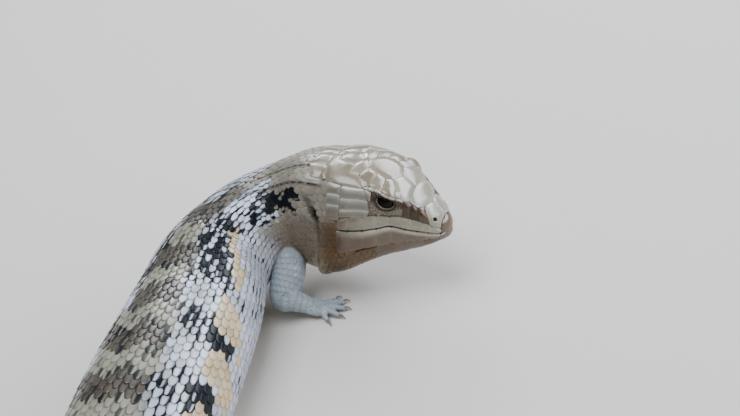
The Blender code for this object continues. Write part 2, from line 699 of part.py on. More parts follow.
def build_leg(name, station, side, points, toes, parts, cutters, look):
    path = [beside(station, side, forward, out, high) for forward, out, high, thick in points]
    thick = [p[3] for p in points]
    upper_end = ELBOW + 1
    leg = limb(name, path[:upper_end], thick[:upper_end], LIMB_SIDES, parts, pieces=2)
    leg.data.materials.append(look)
    lower = limb("lower", path[ELBOW:], thick[ELBOW:], LIMB_SIDES, cutters)
    turn = float(heading(np.array([station]))[0]) + side * radians(FOOT_TURNS[name])
    ahead = np.array((cos(turn), sin(turn), 0.0))
    boolean(leg, [lower, *foot_shapes(path[-1], ahead, side, toes, cutters)], "UNION")
    rings = body_rings(station - BODY_REACH, station + BODY_REACH, CUTTER_STEP, CUTTER_SIDES, GAP)
    body = loft("body_cutter", rings, cutters)
    boolean(leg, [body, floor_cutter(path[ELBOW - 1], cutters)], "DIFFERENCE")


def build():
    clear_scene()
    parts = new_collection("blue_tongued_skink")
    cutters = new_collection("cutters")
    cutters.hide_render = True
    looks = {name: surface(name + "_surface", *look) for name, look in LOOKS.items()}
    build_head(parts, cutters, looks["head"], looks["eye"])
    build_body(parts, looks)
    build_leg("foreleg_right", SHOULDER, -1, FORELEG_RIGHT, FORE_TOES, parts, cutters, looks["leg"])
    build_leg("foreleg_left", SHOULDER, 1, FORELEG_LEFT, FORE_TOES, parts, cutters, looks["leg"])
    build_leg("hindleg_right", HIP, -1, HINDLEG, HIND_TOES, parts, cutters, looks["leg"])
    build_leg("hindleg_left", HIP, 1, HINDLEG, HIND_TOES, parts, cutters, looks["leg"])


build()
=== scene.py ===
# Blue tongued skink, a still life-size model: its skin, shields, scales, eyes and claws
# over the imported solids. Sizes are in millimetres until a mesh is made. A station is a distance
# behind the snout tip along the spine. A line runs along the body: 0 the crest, 1 the brow,
# 2 the cheek, 3 the lip, 4 the jaw and 5 the throat on the left, then back up the right side to 10.
from math import cos, pi, radians, sin

import bpy
import numpy as np
from mathutils import Matrix, Vector
from mathutils.bvhtree import BVHTree
from mathutils.geometry import delaunay_2d_cdt


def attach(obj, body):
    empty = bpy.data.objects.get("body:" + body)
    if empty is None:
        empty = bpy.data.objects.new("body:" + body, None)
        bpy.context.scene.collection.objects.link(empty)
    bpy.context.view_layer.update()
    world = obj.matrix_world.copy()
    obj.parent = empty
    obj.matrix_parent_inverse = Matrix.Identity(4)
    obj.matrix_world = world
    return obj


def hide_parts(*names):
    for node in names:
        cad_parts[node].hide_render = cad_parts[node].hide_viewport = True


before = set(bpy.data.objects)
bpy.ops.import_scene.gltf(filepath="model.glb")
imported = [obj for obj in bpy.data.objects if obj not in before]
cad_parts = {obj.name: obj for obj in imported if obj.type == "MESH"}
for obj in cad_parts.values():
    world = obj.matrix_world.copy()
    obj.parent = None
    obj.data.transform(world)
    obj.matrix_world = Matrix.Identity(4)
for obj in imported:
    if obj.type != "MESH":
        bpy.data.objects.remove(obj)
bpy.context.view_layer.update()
mm = 0.001
draw = np.random.default_rng(11)
bpy.ops.object.select_all(action="DESELECT")

body = {
    "headLength": 57.0,
    "vent": 310.0,
    "length": 484.0,
    "bellyRest": 210,
    "pitch": -10.6,
    "roll": -7.9,
    # where the spine turns: from station, to station, degrees
    "turns": ((57, 110, 56.44), (100, 142.5, 45.26), (215, 300, -24), (300, 400, -25), (400, 480, 30)),
    # station, half width, height above the axis, depth below it, axis height
    "trunk": (
        (57, 20.5, 18.0, 28.0, 42.2), (73, 19.3, 18.0, 36.5, 39.9), (95, 21.1, 20.0, 23.5, 35.7),
        (120, 25.2, 23.0, 22.0, 28.7), (160, 30.0, 26.0, 25.0, 23.5), (210, 32.2, 27.0, 26.0, 23.5),
        (260, 29.1, 25.0, 24.0, 22.0), (295, 21.7, 20.5, 20.0, 18.0), (318, 16.5, 17.0, 16.0, 15.0),
        (370, 12.2, 13.5, 12.5, 12.0), (430, 7.4, 8.5, 7.7, 7.5), (470, 3.5, 4.0, 3.7, 3.6),
        (484, 0.9, 1.0, 1.0, 1.0),
    ),
    "roundness": 2.25,
    "lineAngles": (0, 36, 66, 92, 128, 180),
    "throatBulge": (13.0, 56.0, 23.0),
    "throatBend": (46.0, 70.0),
}
head = {
    "at": (0, 3, 8, 15, 24, 34, 45, 57),
    # each line of the head: how far out, and how high over the mouth
    "lines": (
        ((0, 0, 0, 0, 0, 0, 0, 0), (2.4, 5.8, 10.2, 15.4, 20.6, 23.6, 24.2, 22.6)),
        ((0, 4.4, 7.2, 10.6, 14.4, 16.0, 16.8, 15.6), (1.8, 4.8, 8.6, 13.4, 18.4, 20.4, 20.2, 17.6)),
        ((0, 6.4, 9.2, 11.6, 15.0, 18.4, 21.2, 20.2), (0.4, 2.0, 4.2, 6.0, 8.2, 8.4, 7.2, 5.0)),
        ((0, 7.0, 10.3, 12.9, 16.0, 19.4, 22.3, 20.6), (-1.2, -0.8, -0.3, 0, -0.3, -0.8, -1.5, -3)),
        ((0, 5.6, 8.6, 11.2, 14.0, 16.6, 18.6, 19.2), (-3.2, -4.8, -6.8, -8.9, -11.4, -14.2, -16.8, -18.5)),
        ((0, 0, 0, 0, 0, 0, 0, 0), (-3.6, -5.8, -8.2, -10.6, -13.6, -17.0, -20.4, -21)),
    ),
    "mouthAt": (0, 4, 8, 14.5, 22, 28, 37, 45),
    "mouthLine": (3.0, 2.9, 2.8, 2.75, 2.6, 2.78, 2.92, 2.9),
    "mouthEnd": (43.0, 46.5),
    "mouthDepth": 1.1,
    "mouthWidth": 0.5,
    "lipSwell": 0.35,
    "eyeAt": (24.0, 1.36),
    "eyeRadius": 4.7,
    "eyeSunk": 4.1,
    "lidRadius": 5.9,
    "lidFlat": 0.94,
    "opening": (4.3, 3.1),
    "openingTilt": 13,
    "socketDepth": 3.6,
    "earAt": (56.0, 2.25),
    "earSize": (4.5, 1.6),
    "earDepth": 2.6,
    "earLean": 0.30,
    # the fold of skin that runs down from the ear behind the jaw: stations, lines, depth, half width
    "foldAt": (60.5, 57.7, 56.8, 54.6, 55.4, 58.5),
    "foldLine": (1.30, 1.72, 2.26, 3.0, 3.55, 4.15),
    "foldSize": (0.9, 1.1),
    "nostrilAt": (5.0, 1.15),
    "nostrilSize": (1.15, 0.85),
    "nostrilDepth": 1.3,
}
trunk = np.array(body["trunk"], float)


def ease(start, end, x):
    t = np.clip((x - start) / (end - start), 0, 1)
    return t * t * (3 - 2 * t)


def smoothThrough(xs, ys, x):  # a curve through the points that never overshoots them
    xs, ys, x = (np.asarray(v, float) for v in (xs, ys, x))
    step = np.diff(xs)
    slope = np.diff(ys) / step
    tangent = np.zeros_like(xs)
    for i in range(1, len(xs) - 1):
        if slope[i - 1] * slope[i] > 0:
            before = 2 * step[i] + step[i - 1]
            after = step[i] + 2 * step[i - 1]
            tangent[i] = (before + after) / (before / slope[i - 1] + after / slope[i])
    tangent[0], tangent[-1] = slope[0], slope[-1]
    i = np.clip(np.searchsorted(xs, x) - 1, 0, len(xs) - 2)
    t = (np.clip(x, xs[0], xs[-1]) - xs[i]) / step[i]
    start = ys[i] * (1 + 2 * t) * (1 - t) ** 2 + tangent[i] * step[i] * t * (1 - t) ** 2
    end = ys[i + 1] * t * t * (3 - 2 * t) + tangent[i + 1] * step[i] * t * t * (t - 1)
    return start + end


def heading(s):  # direction of the spine in radians from +X
    turned = sum(
        degrees * (ease(a, b, s) - (1 if a < body["bellyRest"] else 0)) for a, b, degrees in body["turns"]
    )
    return np.radians(turned)


def walkSpine():
    s = np.arange(0, body["length"] + 1)
    rise = sin(radians(body["pitch"]))
    neckHeight = trunk[0, 4]
    height = smoothThrough(np.r_[50, trunk[:, 0]], np.r_[neckHeight + 7 * rise, trunk[:, 4]], s)
    height = np.where(s < body["headLength"], neckHeight + (body["headLength"] - s) * rise, height)
    slope = -np.gradient(height, s)
    flat = np.sqrt(np.clip(1 - slope ** 2, 0.2, 1))
    tangent = np.stack([flat * np.cos(heading(s)), flat * np.sin(heading(s)), slope], 1)
    centre = np.zeros((len(s), 3))
    centre[1:] = -np.cumsum((tangent[1:] + tangent[:-1]) / 2, 0)
    centre -= centre[body["bellyRest"]]
    centre[:, 2] = height
    return s, centre, tangent


spineAt, spineCentre, spineTangent = walkSpine()


def spineFrame(s):  # centre, forward, left and up at each station
    centre = np.stack([np.interp(s, spineAt, spineCentre[:, i]) for i in range(3)], -1)
    forward = np.stack([np.interp(s, spineAt, spineTangent[:, i]) for i in range(3)], -1)
    forward /= np.linalg.norm(forward, axis=-1, keepdims=True)
    turned = heading(s)
    left = np.stack([-np.sin(turned), np.cos(turned), 0 * turned], -1)
    up = np.cross(forward, left)
    roll = (np.radians(body["roll"]) * (1 - ease(57, 110, s)))[..., None]
    left = left * np.cos(roll) + up * np.sin(roll)
    return centre, forward, left, np.cross(forward, left)


def through(points, i, t):  # a smooth curve that runs through neighbouring points
    p0, p1, p2, p3 = (points(i + k) for k in (-1, 0, 1, 2))
    bend = 2 * p0 - 5 * p1 + 4 * p2 - p3
    twist = 3 * p1 - p0 - 3 * p2 + p3
    return 0.5 * (2 * p1 + (p2 - p0) * t + bend * t ** 2 + twist * t ** 3)


def headSection(s, line):
    at = np.sqrt(np.clip(s, 0, body["headLength"]))
    deep, middle, reach = body["throatBulge"]
    bulge = deep * np.exp(-((s - middle) / reach) ** 2)
    share = (0, 0, 0, 0, 0.75, 1.0)
    half = []
    for (out, high), part in zip(head["lines"], share):
        out = smoothThrough(np.sqrt(head["at"]), out, at)
        high = smoothThrough(np.sqrt(head["at"]), high, at) - bulge * part
        half.append(np.stack([out, high], -1))
    mirror = np.array((-1.0, 1.0))
    lines = np.stack(half + [p * mirror for p in half[4:0:-1]], 1)
    i = np.floor(line).astype(int)
    rows = np.arange(len(s))[:, None]
    return through(lambda k: lines[rows, k % 10], i, (line - i)[..., None])


def trunkSection(s, line):
    angles = np.radians(body["lineAngles"])
    around = np.r_[angles, 2 * pi - angles[4:0:-1], 2 * pi]
    phi = np.interp(line, np.arange(11), around)
    width, above, below = (smoothThrough(trunk[:, 0], trunk[:, k], s)[:, None] for k in (1, 2, 3))
    power = 2 / body["roundness"]
    out = width * np.sign(np.sin(phi)) * np.abs(np.sin(phi)) ** power
    reach = np.where(np.cos(phi) > 0, above, below)
    return np.stack([out, reach * np.sign(np.cos(phi)) * np.abs(np.cos(phi)) ** power], -1)


def buildTable():  # the skin's points and normals on a fine grid of stations and lines
    stations = np.r_[np.arange(0, 8, 0.1), np.arange(8, 64, 0.25), np.arange(64, body["length"] + 0.1, 0.5)]
    line = np.broadcast_to(np.linspace(0, 10, 401), (len(stations), 401))
    blend = ease(57, 92, stations)[:, None, None]
    flat = headSection(stations, line) * (1 - blend) + trunkSection(stations, line) * blend
    centre, forward, left, up = spineFrame(stations)
    points = centre[:, None] + left[:, None] * flat[..., :1] + up[:, None] * flat[..., 1:]
    points[..., 2] = np.maximum(points[..., 2], 0)
    # where the neck bends, the throat's skin is drawn smooth over the fold
    low, high = body["throatBend"]
    near = np.nonzero((stations > low) & (stations < high))[0]
    weights = np.exp(-((stations[near][:, None] - stations[near[0] - 40:near[-1] + 41]) / 2.4) ** 2)
    weights /= weights.sum(1, keepdims=True)
    even = np.einsum("ij,jkl->ikl", weights, points[near[0] - 40:near[-1] + 41])
    under = ease(2.6, 3.4, np.minimum(line[:1], 10 - line[:1]))[..., None]
    under = under * (ease(low, low + 4, stations[near]) * (1 - ease(high - 4, high, stations[near])))[:, None, None]
    points[near] += (even - points[near]) * under
    ahead = -np.gradient(points, stations, axis=0)
    ring = np.concatenate([points[:, -2:-1], points, points[:, 1:2]], 1)
    across = ring[:, 2:] - ring[:, :-2]
    normals = np.cross(ahead, across)
    normals /= np.maximum(np.linalg.norm(normals, axis=-1, keepdims=True), 1e-9)
    steps = np.linalg.norm(np.diff(points, axis=1), axis=-1)
    reach = np.concatenate([np.zeros((len(stations), 1)), np.cumsum(steps, 1)], 1)
    girth = reach[:, -1]
    share = np.linspace(0, 1, 401)
    lineAtShare = np.stack([np.interp(share * g, r, line[0]) for g, r in zip(girth, reach)])
    return stations, points, normals, girth, lineAtShare


tableAt, tablePoints, tableNormals, tableGirth, tableLines = buildTable()


def sample(grid, s, part):  # reads a table at stations and at parts 0 to 1 of the way round
    row = np.interp(s, tableAt, np.arange(len(tableAt)))
    column = part * (grid.shape[1] - 1)
    r = np.clip(row.astype(int), 0, grid.shape[0] - 2)
    c = np.clip(column.astype(int), 0, grid.shape[1] - 2)
    fr, fc = row - r, column - c
    if grid.ndim == 3:
        fr, fc = fr[..., None], fc[..., None]
    near = grid[r, c] * (1 - fc) + grid[r, c + 1] * fc
    far = grid[r + 1, c] * (1 - fc) + grid[r + 1, c + 1] * fc
    return near * (1 - fr) + far * fr


def lineAt(s, share):  # the line at a share of the way round, measured along the skin
    return sample(tableLines, s, share % 1)


def shareOf(s, line):  # how far round the skin a line lies at a station
    row = int(np.interp(s, tableAt, np.arange(len(tableAt))))
    return float(np.interp(line % 10, tableLines[row], np.linspace(0, 1, tableLines.shape[1])))


def plainSkin(s, line):
    part = (line % 10) / 10
    normals = sample(tableNormals, s, part)
    normals /= np.maximum(np.linalg.norm(normals, axis=-1, keepdims=True), 1e-9)
    return sample(tablePoints, s, part), normals


def spot(place, side):  # one point of the skin, with its normal and its forward and upward directions
    s, line = place
    ahead = s - 0.3
    points, normals = plainSkin(np.array([s, ahead]), np.array([side * line, side * line]))
    forward = points[1] - points[0]
    forward -= normals[0] * (forward @ normals[0])
    forward /= np.linalg.norm(forward)
    upward = np.cross(forward, normals[0]) * -side
    return points[0], normals[0], forward, upward


def headFeatures():
    found = {}
    for side in (1, -1):
        place, normal, forward, upward = spot(head["eyeAt"], side)
        found["eye", side] = (place - normal * head["eyeSunk"], forward, -upward, normal)
        place, normal, forward, upward = spot(head["earAt"], side)
        tall = -upward - forward * head["earLean"]
        tall /= np.linalg.norm(tall)
        found["ear", side] = (place, tall, np.cross(tall, normal), normal)
        place, normal, forward, upward = spot(head["nostrilAt"], side)
        found["nostril", side] = (place, forward, upward, normal)
    return found


features = headFeatures()


def local(points, kind, side):  # coordinates of points in the frame of an eye, ear or nostril
    centre, *axes = features[kind, side]
    return [(points - centre) @ axis for axis in axes]


def tilted(x, y):  # the eye's opening slopes down towards the snout
    turn = radians(head["openingTilt"])
    return x * cos(turn) - y * sin(turn), x * sin(turn) + y * cos(turn)


def openingRim(turn):  # the edge of the opening, in the plane of the eye
    wide, high = head["opening"]
    x = wide * np.cos(turn)
    y = high * np.sign(np.sin(turn)) * np.abs(np.sin(turn)) ** 1.2
    back = -radians(head["openingTilt"])
    return np.stack([x * cos(back) - y * sin(back), x * sin(back) + y * cos(back)], 1)


def overEye(x, y, z):  # lifts the skin over the eye's ball, and sinks it inside the opening
    lid = np.sqrt(np.maximum(head["lidRadius"] ** 2 - x ** 2 - (y / head["lidFlat"]) ** 2, 0))
    lifted = (z + lid + np.sqrt((z - lid) ** 2 + 0.5)) / 2 - 0.03
    wide, high = head["opening"]
    across, over = tilted(x, y)
    inside = (1 - np.sqrt((across / wide) ** 2 + (np.abs(over) / high) ** 1.67)) * high
    return lifted - head["socketDepth"] * ease(0.0, 0.8, inside)


def mouthPress(s, line):  # the groove of the mouth and the lips beside it
    folded = np.minimum(line % 10, 10 - line % 10)
    at = smoothThrough(head["mouthAt"], head["mouthLine"], s)
    size = np.interp(s, tableAt, tableGirth) / 10
    away = (folded - at) * size
    fade = 1 - ease(*head["mouthEnd"], s)
    groove = head["mouthDepth"] * np.exp(-((away / head["mouthWidth"]) ** 2))
    lips = head["lipSwell"] * np.exp(-(((np.abs(away) - 1.5) / 1.0) ** 2))
    return fade * (lips - groove)


def jawFold(s, line):  # the soft groove behind the jaw
    folded = np.minimum(line % 10, 10 - line % 10)
    at = smoothThrough(head["foldLine"], head["foldAt"], folded)
    deep, wide = head["foldSize"]
    ends = ease(1.3, 1.7, folded) * (1 - ease(3.3, 4.1, folded))
    return deep * ends * np.exp(-((s - at) / wide) ** 2)


def onSkin(s, line):  # points and normals of the finished skin, with its mouth, lids, ears and nostrils
    points, normals = plainSkin(s, line)
    near = s < 66
    if not near.any():
        return points, normals
    p, n, at, along = points[near], normals[near], s[near], line[near]
    p = p + n * (mouthPress(at, along) - jawFold(at, along))[:, None]
    for side in (1, -1):
        x, y, z = local(p, "eye", side)
        close = (np.hypot(x, y) < 9) & (z > 0)
        if close.any():
            axis = features["eye", side][3]
            p[close] += axis * (overEye(x[close], y[close], z[close]) - z[close])[:, None]
        x, y, z = local(p, "ear", side)
        wide, high = head["earSize"]
        ring = np.where(np.abs(z) < 6, np.hypot(x / wide, y / high), 9)
        p -= n * (head["earDepth"] * (1 - ease(0.45, 1.0, ring)))[:, None]
        p += n * (0.3 * np.exp(-((ring - 1.25) / 0.3) ** 2))[:, None]
        x, y, z = local(p, "nostril", side)
        wide, high = head["nostrilSize"]
        ring = np.where(np.abs(z) < 3, np.hypot(x / wide, y / high), 9)
        p -= n * (head["nostrilDepth"] * (1 - ease(0.45, 1.0, ring)))[:, None]
        p += n * (0.22 * np.exp(-((ring - 1.3) / 0.3) ** 2))[:, None]
    points[near] = p
    return points, normals


print("the body's law is ready:", len(tableAt), "stations")


def linear(hexColour):
    parts = [int(hexColour[i:i + 2], 16) / 255 for i in (1, 3, 5)]
    return tuple(c / 12.92 if c <= 0.04045 else ((c + 0.055) / 1.055) ** 2.4 for c in parts) + (1.0,)


def addNode(tree, kind, settings=(), inputs=()):
    made = tree.nodes.new("ShaderNode" + kind)
    for key, value in dict(settings).items():
        setattr(made, key, value)
    for key, value in dict(inputs).items():
        if isinstance(value, bpy.types.NodeSocket):
            tree.links.new(value, made.inputs[key])
        else:
            made.inputs[key].default_value = value
    return made


def newMaterial(name, settings):
    made = bpy.data.materials.new(name)
    made.use_nodes = True
    shader = made.node_tree.nodes["Principled BSDF"]
    for key, value in settings.items():
        shader.inputs[key].default_value = value
    return made, made.node_tree, shader


def attribute(tree, name):
    return addNode(tree, "Attribute", {"attribute_name": name}).outputs["Fac"]


def layered(tree, base, layers):  # each colour laid over the last where its mask says
    for mask, colour in layers:
        amount = attribute(tree, mask) if isinstance(mask, str) else mask
        base = addNode(tree, "Mix", {"data_type": "RGBA"}, {0: amount, 6: base, 7: linear(colour)}).outputs[2]
    return base


def finishSkin(name, groundColour, layers, grain, shading):
    made, tree, shader = newMaterial(name, shading)
    place = addNode(tree, "TexCoord").outputs["Object"]
    ground = addNode(tree, "RGB")
    ground.outputs[0].default_value = linear(groundColour)
    colour = layered(tree, ground.outputs[0], layers)
    cloud = addNode(tree, "TexNoise", {}, {"Vector": place, "Scale": grain["cloud"], "Detail": 4.0})
    shade = addNode(tree, "MapRange", {}, {"Value": cloud.outputs["Fac"], 1: 0.3, 2: 0.7, 3: 0.86, 4: 1.12})
    tone = addNode(tree, "Math", {"operation": "MULTIPLY"}, {0: shade.outputs[0], 1: attribute(tree, "tone")})
    colour = addNode(tree, "Mix", {"data_type": "RGBA", "blend_type": "MULTIPLY"},
                     {0: 1.0, 6: colour, 7: tone.outputs[0]}).outputs[2]
    tree.links.new(colour, shader.inputs["Base Color"])
    fine = addNode(tree, "TexNoise", {}, {"Vector": place, "Scale": grain["fine"], "Detail": 5.0})
    bump = addNode(tree, "Bump", {}, {"Height": fine.outputs["Fac"], "Strength": grain["strength"],
                                      "Distance": grain["depth"] * mm})
    tree.links.new(bump.outputs[0], shader.inputs["Normal"])
    rough = addNode(tree, "MapRange", {}, {"Value": cloud.outputs["Fac"], 1: 0.3, 2: 0.7,
                                           3: grain["rough"][0], 4: grain["rough"][1]})
    tree.links.new(rough.outputs[0], shader.inputs["Roughness"])
    shine = addNode(tree, "MapRange", {}, {"Value": attribute(tree, "black"), 3: grain["shine"], 4: 0.18})
    tree.links.new(shine.outputs[0], shader.inputs["Specular IOR Level"])
    return made


def finishEye():  # a wet, nearly black eye: a dark brown iris round a black pupil, smooth and glossy
    made, tree, shader = newMaterial("wetEye", {"Roughness": 0.05, "IOR": 1.24, "Specular IOR Level": 0.35})
    colour = layered(tree, linear("#040303"), (("iris", "#140C07"), ("pupil", "#010101")))
    tree.links.new(colour, shader.inputs["Base Color"])
    return made


# Keratin over skin with bone beneath: smooth, satin to glossy, each scale a little domed
scaleLayers = (
    ("dorsal", "#838272"), ("brown", "#443E34"), ("white", "#BEC8D6"), ("lavender", "#B4B8C4"), ("tan", "#B8A47C"),
    # the throat's deep brown is partly its own tan and partly painted shade under the head and neck
    ("cream", "#C2BBA9"), ("throat", "#553B12"), ("leg", "#8B979D"), ("black", "#0B1219"),
)
materials = {
    "scales": finishSkin(
        "glossyBodyScales", "#7D776B", scaleLayers,
        {"cloud": 90.0, "fine": 1400.0, "strength": 0.25, "depth": 0.05, "rough": (0.22, 0.36), "shine": 0.6},
        {"IOR": 1.52},
    ),
    "skin": finishSkin(
        "softSkinBetweenScales", "#8C8474", scaleLayers,
        {"cloud": 160.0, "fine": 1800.0, "strength": 0.4, "depth": 0.12, "rough": (0.5, 0.65), "shine": 0.4},
        {"IOR": 1.45},
    ),
    "eye": finishEye(),
    "claw": newMaterial("darkHorn", {"Base Color": linear("#6B655C"), "Roughness": 0.35})[0],
    "shields": finishSkin(
        "hornyHeadShields", "#7E7765",
        (("tan", "#766B56"), ("grey", "#83857B"), ("cream", "#9A9580"), ("brown", "#4A3010"), ("pale", "#B4B2A8"),
         ("black", "#1E1813")),
        {"cloud": 130.0, "fine": 620.0, "strength": 0.45, "depth": 0.14, "rough": (0.13, 0.30), "shine": 0.85},
        {"IOR": 1.52},
    ),
}


def meshPiece(name, points, faces, masks, material, bakeMap=None):
    mesh = bpy.data.meshes.new(name)
    mesh.from_pydata(points * mm, [], faces)
    for mask, values in masks.items():
        mesh.attributes.new(mask, "FLOAT", "POINT").data.foreach_set("value", np.asarray(values, np.float32))
    if bakeMap is not None:
        corner = np.empty(len(mesh.loops), np.int32)
        mesh.loops.foreach_get("vertex_index", corner)
        mesh.uv_layers.new(name="OFBake").data.foreach_set("uv", bakeMap[corner].astype(np.float32).ravel())
    mesh.polygons.foreach_set("use_smooth", np.ones(len(mesh.polygons), bool))
    mesh.update()
    mesh.materials.append(material)
    made = bpy.data.objects.new(name, mesh)
    bpy.context.collection.objects.link(made)
    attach(made, "root")
    return made


def newPrimitive(name):
    made = bpy.context.object
    made.name = name
    made.data.name = name
    return made


# The pattern of the body, by stations and by how far down from the crest: 0 the crest, 1 the belly's middle
pattern = {
    "bandAt": 150.5,
    "bandLength": 27.3,
    # how far the bands lean back on the way down
    "lean": ((0, 0.12, 0.2, 0.3, 0.4, 0.55, 1.0), (0, 4.5, 0, -6, -4, 1, 4)),
    # the back's colours lie a little to the left of the crest, and reach so far down, by station
    "roll": 0.03,
    "back": ((96, 110, 128, 139, 162, 175, 190, 205, 300, 340),
             (0.17, 0.115, 0.095, 0.135, 0.12, 0.155, 0.185, 0.20, 0.19, 0.17)),
    # how black the upper flank is, by station
    "flankBlack": ((100, 106, 155, 160, 171, 175, 189, 194, 207, 212, 226, 232),
                   (0.5, 1.04, 1.04, 0.3, 0.25, 1.0, 1.0, 0.2, 0.2, 0.75, 0.75, 0.3)),
    # the stripe from the shoulder: station, height and half its width
    "stripe": ((106, 120, 135, 152), (0.235, 0.250, 0.285, 0.335), 0.030),
    "barTop": ((150, 175, 204, 300), (0.27, 0.275, 0.325, 0.33)),
    "barFoot": ((150, 175, 204, 300), (0.41, 0.44, 0.53, 0.55)),
    "barWidth": 0.29,  # half a bar's share of a band
    # dark lines along the nape: by station, how far down
    "napeLines": (((55, 68, 80, 96), (0.100, 0.092, 0.050, -0.01)), ((55, 68, 80, 92, 104), (0.215, 0.195, 0.160, 0.105, 0.07))),
    "napeLineWidth": 0.009,
    "neckPatch": ((64.0, 86.0), (0.305, 0.235), 0.052),  # the black patch behind the head, and half its height
    "whitePatch": (82.0, 103.0, 0.08, 0.34),
}


def between(low, high, soft, x):  # 1 from low to high, fading over a soft edge outside
    return ease(low - soft, low, x) * (1 - ease(high, high + soft, x))


def markings(s, share, chance):
    down = np.minimum(share % 1, 1 - share % 1) * 2
    rough = chance[0] - 0.5
    other = chance[1] - 0.5
    at = (s - pattern["bandAt"] - np.interp(down, *pattern["lean"])) / pattern["bandLength"]
    at = at + 0.05 * np.sin(down * 31 + 2 * s / pattern["bandLength"])
    band = np.cos(2 * pi * at)  # 1 in the middle of a pale band, -1 of a brown one
    fromBar = np.abs(at - np.round(at))
    trunk = ease(92, 102, s + 6 * rough)
    tail = ease(290, 340, s)
    fromMiddle = (share - pattern["roll"] * ease(70, 105, s)) % 1
    fromMiddle = np.minimum(fromMiddle, 1 - fromMiddle) * 2
    top = 1 - ease(-0.015, 0.015, fromMiddle - np.interp(s, *pattern["back"]) + 0.03 * rough)
    brown = ease(-0.05, 0.20, -band + 0.35 * other) * top * trunk
    brown = np.maximum(brown, 0.8 * between(94, 104, 4, s) * top)
    barTop, barFoot = np.interp(s, *pattern["barTop"]), np.interp(s, *pattern["barFoot"])
    edge = pattern["barWidth"] + 0.05 * other
    bars = (fromBar < edge) * ((down + 0.02 * rough > barTop) & (down < barFoot + 0.03 * other)) * (s > 160)
    stations, heights, half = pattern["stripe"]
    stripe = (np.abs(down - np.interp(s, stations, heights)) < half + 0.008 * rough) & (s > 107) & (s < 153)
    tan = np.where(stripe, 1.0, bars) * (1 - 0.55 * tail)
    flank = (1 - top) * (1 - ease(0.42, 0.45, down + 0.02 * rough)) * trunk
    aboveStripe = down < np.interp(s, stations, heights)
    a, b, c, d = pattern["whitePatch"]
    white = between(a, b, 4, s + 4 * rough) * between(c, d, 0.03, down + 0.02 * other)
    stations, heights, half = pattern["neckPatch"]
    fromPatch = np.abs(down - np.interp(s, stations, heights) + 0.02 * other)
    patch = between(stations[0], stations[1], 2, s + 5 * rough) * (1 - ease(half, half + 0.015, fromPatch))
    lavender = ease(0.36, 0.46, down + 0.04 * rough) * ease(84, 104, s)
    belly = ease(0.60, 0.78, down)
    # how much of each scale is black
    border = np.exp(-((band + 0.05) / 0.42) ** 2)
    dash = top * trunk * np.where(chance[1] < 0.35 + 0.55 * border, 0.95 * ease(0.25, 0.6, border + 0.5 * (chance[1] < 0.1)), 0)
    dark = np.where(s < 232, np.interp(s, *pattern["flankBlack"]), 0.16 + 0.55 * ease(-0.3, 0.6, band))
    dark = np.where(aboveStripe | (s > 158), dark, 0.14)
    level = flank * dark * (0.36 + 1.0 * chance[2]) * (1 - 0.2 * tail)
    gap = ease(0.30, 0.40, fromBar) * between(0.27, 0.42 + 0.10 * ease(215, 235, s), 0.03, down) * (s > 178)
    level = np.maximum(level, gap * np.where(chance[1] < 0.75, 1.25, 0.45) * trunk)
    level = np.maximum(level, 0.5 * lavender * (1 - ease(0.5, 0.72, down)) * (chance[2] > 0.86))
    level = level * (1 - 0.9 * np.clip(tan, 0, 1))
    inPatch = between(84, 97, 3, s) * between(0.19, 0.34, 0.03, down)
    level = np.where(white > 0.3, (0.42 + 0.52 * inPatch) * (0.3 + 1.4 * chance[2]), level)
    level = np.maximum(level, patch * np.where(chance[2] < 0.2, 0.72, 1.3))
    lines = top * trunk * (0.45 + 0.3 * brown) * (0.5 + chance[6])
    lines = np.maximum(lines, ease(0.17, 0.25, down) * (1 - ease(0.55, 0.75, down)) * trunk * (0.35 + 0.6 * chance[6]))
    lines = np.maximum(lines, 0.35 * (1 - ease(0.20, 0.32, down)) * ease(56, 64, s) * chance[6])
    lines = lines * (1 - 0.75 * np.clip(tan, 0, 1))
    nape = 1 - ease(90, 104, s)
    return {
        "dorsal": top * trunk * (1 - brown), "brown": brown,
        "white": np.maximum(flank * (0.50 + 0.55 * chance[4]), white) * (1 - patch), "lavender": lavender,
        "tan": np.clip(tan * (0.80 + 0.25 * chance[4]), 0, 1), "cream": belly,
        # the throat colour on the cheek, jaw and throat: partly their own tan, partly painted shade
        "throat": np.maximum(1 - ease(47, 63, s), 0.42 * (1 - ease(90, 106, s))) * ease(0.34, 0.48, down),
        "level": level, "lines": lines, "dash": dash, "nape": nape,
    }


baseMasks = ("dorsal", "brown", "white", "lavender", "tan", "cream", "throat")


coat = {
    "depth": 0.45,
    # from a station on, how many rows lie side by side round the body
    "rows": ((10, 52), (306, 42), (336, 34), (368, 26), (404, 20), (438, 14), (464, 8)),
    # spacing along the body by station
    "spacing": ((10, 2.4), (60, 3.1), (100, 4.1), (140, 4.7), (280, 4.7), (320, 4.2), (370, 3.6), (430, 2.9), (484, 2.2)),
    "long": 1.72,
    "wide": 1.26,
    "root": -0.42,
    "tip": 0.02,
    "dome": 0.13,
    "thick": 0.32,
    "faces": (8, 6),
    # where the rows begin, by line: station behind the shields of the head
    "startLine": (0, 0.45, 0.86, 0.93, 2.28, 2.32, 2.85, 2.95, 3.5, 3.52, 3.9, 3.92, 4.4, 4.42, 5),
    "startAt": (56.0, 57.2, 56.0, 49.6, 48.8, 43.0, 43.4, 43.4, 43.4, 27.0, 27.0, 19.8, 19.6, 13.4, 13.4),
    "pieces": (("scalesOfHeadAndNeck", 0, 110), ("scalesOfTrunkFront", 110, 206),
               ("scalesOfTrunkRear", 206, 312), ("scalesOfTail", 312, 500)),
}


